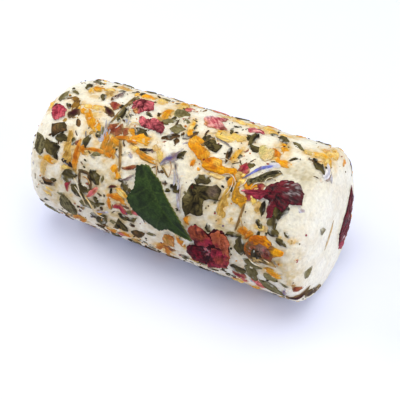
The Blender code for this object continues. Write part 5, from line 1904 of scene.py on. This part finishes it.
class MakeLargeToppings(bpy.types.Operator):
    """Makes the large petals and leaves, near and far, each as its own piece"""

    bl_idname = "cheese.make_large_toppings"
    bl_label = "Large Toppings"

    def execute(self, context):
        tones = colours(context)
        sizes = context.scene.topping_sizes
        for name in LARGE:
            ground = CAPS[CAP_PETALS[name]] if name in CAP_PETALS else on_side
            self.make(name, name, ground, tones, sizes)
        for name, far in FAR_TOPPINGS.items():
            if far[0] in LARGE:
                self.make(name, far[0], far_ground(*far), tones, sizes)
        return {"FINISHED"}

    def make(self, name, like, ground, tones, sizes):
        """One large topping: shaped like the one of that name, on its own ground."""
        middle, crumple, rise, material, dark, light, rim, crinkle = LARGE[like]
        points = OUTLINES[like]
        if like not in CAP_PETALS:
            middle, points = middle_of(like), to_arc(points)
        scale = 1 if like in CAP_PETALS else DEGREES_PER_MM
        dabs = [(x, y / scale, r, tones[tone], s) for x, y, r, tone, s in DABS.get(like, ())]
        # The glints are painted highlights in the floret's white
        glints = [
            (x, y / scale, r, tones["petal_white_and_highlight"], s) for x, y, r, s in GLINTS.get(like, ())
        ]
        wall = sizes.leaf_wall if material == "leaf" else sizes.petal_wall
        bm = start_mesh()
        roundness, jag, rings, steps = SHEET_FINISH[material]
        lay_outline(
            bm, ground, points, middle, crumple, rise, (tones[dark], tones[light], tones[rim]),
            crinkle, dabs, wall, roundness=roundness, jag=jag, rings=rings, steps=steps,
            glints=glints,
        )
        parts = [part for bloom, *part in BLOOM_PARTS if bloom == like]
        for number, part in enumerate(parts):
            self.petal(bm, ground, number + 2.0, part, tones, wall)
        finish_piece(f"{name}_fine", bm, plant_finish(material), [name])

    def petal(self, bm, ground, seed, part, tones, wall):
        """One petal that stands up over a bloom's base."""
        outline, middle, crumple, rise, dark, light, rim, heading, lift, dabs = part
        size, stretch, height = PETAL_CRINKLE
        lay_outline(
            bm, ground, to_arc(outline), to_arc([middle])[0], crumple, rise,
            (tones[dark], tones[light], tones[rim]), (size, stretch, heading, height),
            [(x, y / DEGREES_PER_MM, r, tones[tone], s) for x, y, r, tone, s in dabs], wall,
            rim_lift=lift, seed=seed, jag=0.3, steps=5,
        )


def gap_to_run(first, second, run):
    """Distance from a place to a vein."""
    gaps = []
    for start, end in zip(run, run[1:]):
        step = Vector(end) - Vector(start)
        off = Vector((first, second)) - Vector(start)
        share = max(0.0, min(1.0, off.dot(step) / step.length_squared))
        gaps.append((off - step * share).length)
    return min(gaps)


class MakeGreenLeaf(bpy.types.Operator):
    """Makes the fresh herb leaf with its veins and saw-toothed edge, near and far"""

    bl_idname = "cheese.make_green_leaf"
    bl_label = "Green Leaf"

    def execute(self, context):
        tones = colours(context)
        wall = context.scene.topping_sizes.leaf_wall
        self.leaf("green_leaf", on_side, tones, wall)
        self.leaf("far_leaf", far_ground(*FAR_TOPPINGS["far_leaf"]), tones, wall)
        return {"FINISHED"}

    def leaf(self, name, ground, tones, wall):
        """The leaf, on its own ground."""
        fine = contour(to_arc(OUTLINES["green_leaf"]), 8, 0.6, 0.06, 4.0)
        middle = middle_of("green_leaf")
        midrib, *branches = [to_arc(run) for run in LEAF_VEINS]
        spokes = len(fine)
        # Two points out of three make a tooth on the edge
        fine = [
            (
                x + (x - middle[0]) * LEAF_TOOTH * (1 - (i % 3)),
                y + (y - middle[1]) * LEAF_TOOTH * (1 - (i % 3)),
            )
            for i, (x, y) in enumerate(fine)
        ]

        def shape(x, y):
            spoke = round((x + 1) / 2 * spokes) % spokes
            ring = ((y + 1) / 2) ** 0.8
            first = middle[0] + (fine[spoke][0] - middle[0]) * ring
            second = middle[1] + (fine[spoke][1] - middle[1]) * ring
            rib = gap_to_run(first, second, midrib)
            branch = min(gap_to_run(first, second, run) for run in branches)
            right = smooth_step((first - middle[0] - (second - middle[1]) * 0.75) / 4)
            lift = 0.42 + LEAF_RISE * (1 - ring * ring) + 0.16 * min(rib, 2.2)
            lift -= 0.14 * math.exp(-(rib / 0.35) ** 2) + 0.05 * math.exp(-(branch / 0.3) ** 2)
            lift += 0.14 * patches(first, second, 2.6, 3) + 0.25 * right * max(0.0, ring - 0.6)
            shade = patches(first, second, 2.8, 8) + 0.7 * patches(first, second, 0.9, 18)
            colour = mix(tones["leaf_green_dark"], tones["leaf_green"], 0.55 + 0.8 * shade)
            colour = mix(colour, tones["leaf_vein"], 0.3 * math.exp(-(rib / 0.26) ** 2))
            colour = mix(colour, tones["leaf_vein"], 0.26 * math.exp(-(branch / 0.22) ** 2))
            colour = mix(colour, tones["leaf_rim"], right * max(0.0, ring - 0.93) * 9)
            return over(ground, first, second, lift), colour, (first, second)

        bm = start_mesh()
        lay_sheet(bm, spokes, LEAF_RINGS, shape, wall)
        finish_piece(f"{name}_fine", bm, plant_finish("fresh"), [name])


class MakeStage(bpy.types.Operator):
    """Sets the camera, the pale floor and the soft studio light"""

    bl_idname = "cheese.make_stage"
    bl_label = "Stage"

    def execute(self, context):
        stage = context.scene.cheese_stage
        scene = context.scene
        self.camera(scene, stage)
        self.floor(scene, colours(context)["floor"])
        for side, (_, _, place, width, colour) in SOFT_BOXES.items():
            self.light(scene, f"{side} light", place, width, getattr(stage, side), colour)
        world = bpy.data.worlds.new("even light")
        world.use_nodes = True
        sky = world.node_tree.nodes["Background"]
        sky.inputs["Color"].default_value = SKY_COLOUR
        sky.inputs["Strength"].default_value = stage.sky
        scene.world = world
        scene.view_settings.view_transform = "Standard"
        return {"FINISHED"}

    def camera(self, scene, stage):
        """Looks at the log's middle, which the shift then sets where the photograph has it."""
        target = Vector((CENTRE_X, CENTRE_Y, AXIS_HEIGHT)) * MM
        turn, tilt = stage.azimuth, stage.elevation
        back = Vector((
            math.sin(turn) * math.cos(tilt), -math.cos(turn) * math.cos(tilt), math.sin(tilt),
        ))
        right = Vector((math.cos(turn), math.sin(turn), 0))
        data = bpy.data.cameras.new("camera")
        data.lens = stage.lens
        data.sensor_width = SENSOR_WIDTH
        data.shift_x = (PHOTO_SIZE / 2 - PHOTO_MIDDLE[0]) / PHOTO_SIZE
        data.shift_y = (PHOTO_MIDDLE[1] - PHOTO_SIZE / 2) / PHOTO_SIZE
        data.clip_start = NEAREST_SEEN
        camera = bpy.data.objects.new("camera", data)
        axes = Matrix((right, back.cross(right), back)).transposed().to_4x4()
        camera.matrix_world = Matrix.Translation(target + back * stage.distance) @ axes
        scene.collection.objects.link(camera)
        scene.camera = camera

    def floor(self, scene, colour):
        """A wide board, painted flat and even."""
        bm = bmesh.new()
        bmesh.ops.create_grid(bm, x_segments=1, y_segments=1, size=FLOOR_REACH)
        mesh = bpy.data.meshes.new("floor")
        bm.to_mesh(mesh)
        bm.free()
        floor = bpy.data.objects.new("floor", mesh)
        scene.collection.objects.link(floor)
        material = bpy.data.materials.new("painted board, matte")
        material.use_nodes = True
        shader = material.node_tree.nodes["Principled BSDF"]
        shader.inputs["Base Color"].default_value = (*colour, 1)
        shader.inputs["Roughness"].default_value = 0.9
        shader.inputs["Specular IOR Level"].default_value = 0.1
        mesh.materials.append(material)

    def light(self, scene, name, place, width, power, colour):
        """A round soft box that is turned to the log."""
        data = bpy.data.lights.new(name, "AREA")
        data.shape = "DISK"
        data.size = width
        data.energy = power
        data.color = colour
        lamp = bpy.data.objects.new(name, data)
        lamp.location = place
        aim = Vector(place) - Vector(AIMED_AT)
        lamp.rotation_euler = aim.to_track_quat("Z", "Y").to_euler()
        scene.collection.objects.link(lamp)


class CheesePanel(bpy.types.Panel):
    """The cheese's pieces and settings in the 3D view's sidebar"""

    bl_idname = "VIEW3D_PT_cheese"
    bl_label = "Goat Cheese Log"
    bl_space_type = "VIEW_3D"
    bl_region_type = "UI"
    bl_category = "Cheese"

    def draw(self, context):
        layout = self.layout
        for operator in OPERATORS:
            layout.operator(operator.bl_idname, text=operator.bl_label)
        for group in SETTINGS:
            settings = getattr(context.scene, group)
            box = layout.box()
            for name in settings.bl_rna.properties.keys():
                if name not in ("rna_type", "name"):
                    box.prop(settings, name)


SETTINGS = {
    "cheese_sizes": CheeseSizes,
    "topping_sizes": ToppingSizes,
    "cheese_stage": StageSettings,
    "cheese_colours": CheeseColours,
}
OPERATORS = (MakeStage, MakeCurd, MakeSmallToppings, MakeCrumbs, MakeLargeToppings, MakeGreenLeaf)


def register():
    for settings in SETTINGS.values():
        bpy.utils.register_class(settings)
    for name, settings in SETTINGS.items():
        setattr(bpy.types.Scene, name, PointerProperty(type=settings))
    for operator in OPERATORS:
        bpy.utils.register_class(operator)
    bpy.utils.register_class(CheesePanel)


def unregister():
    bpy.utils.unregister_class(CheesePanel)
    for operator in reversed(OPERATORS):
        bpy.utils.unregister_class(operator)
    for name in SETTINGS:
        delattr(bpy.types.Scene, name)
    for settings in SETTINGS.values():
        bpy.utils.unregister_class(settings)


def main():
    register()
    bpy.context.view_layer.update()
    bpy.ops.cheese.make_stage()
    bpy.ops.cheese.make_curd()
    bpy.ops.cheese.make_small_toppings()
    bpy.ops.cheese.make_crumbs()
    bpy.ops.cheese.make_large_toppings()
    bpy.ops.cheese.make_green_leaf()


if __name__ == "__main__":
    main()
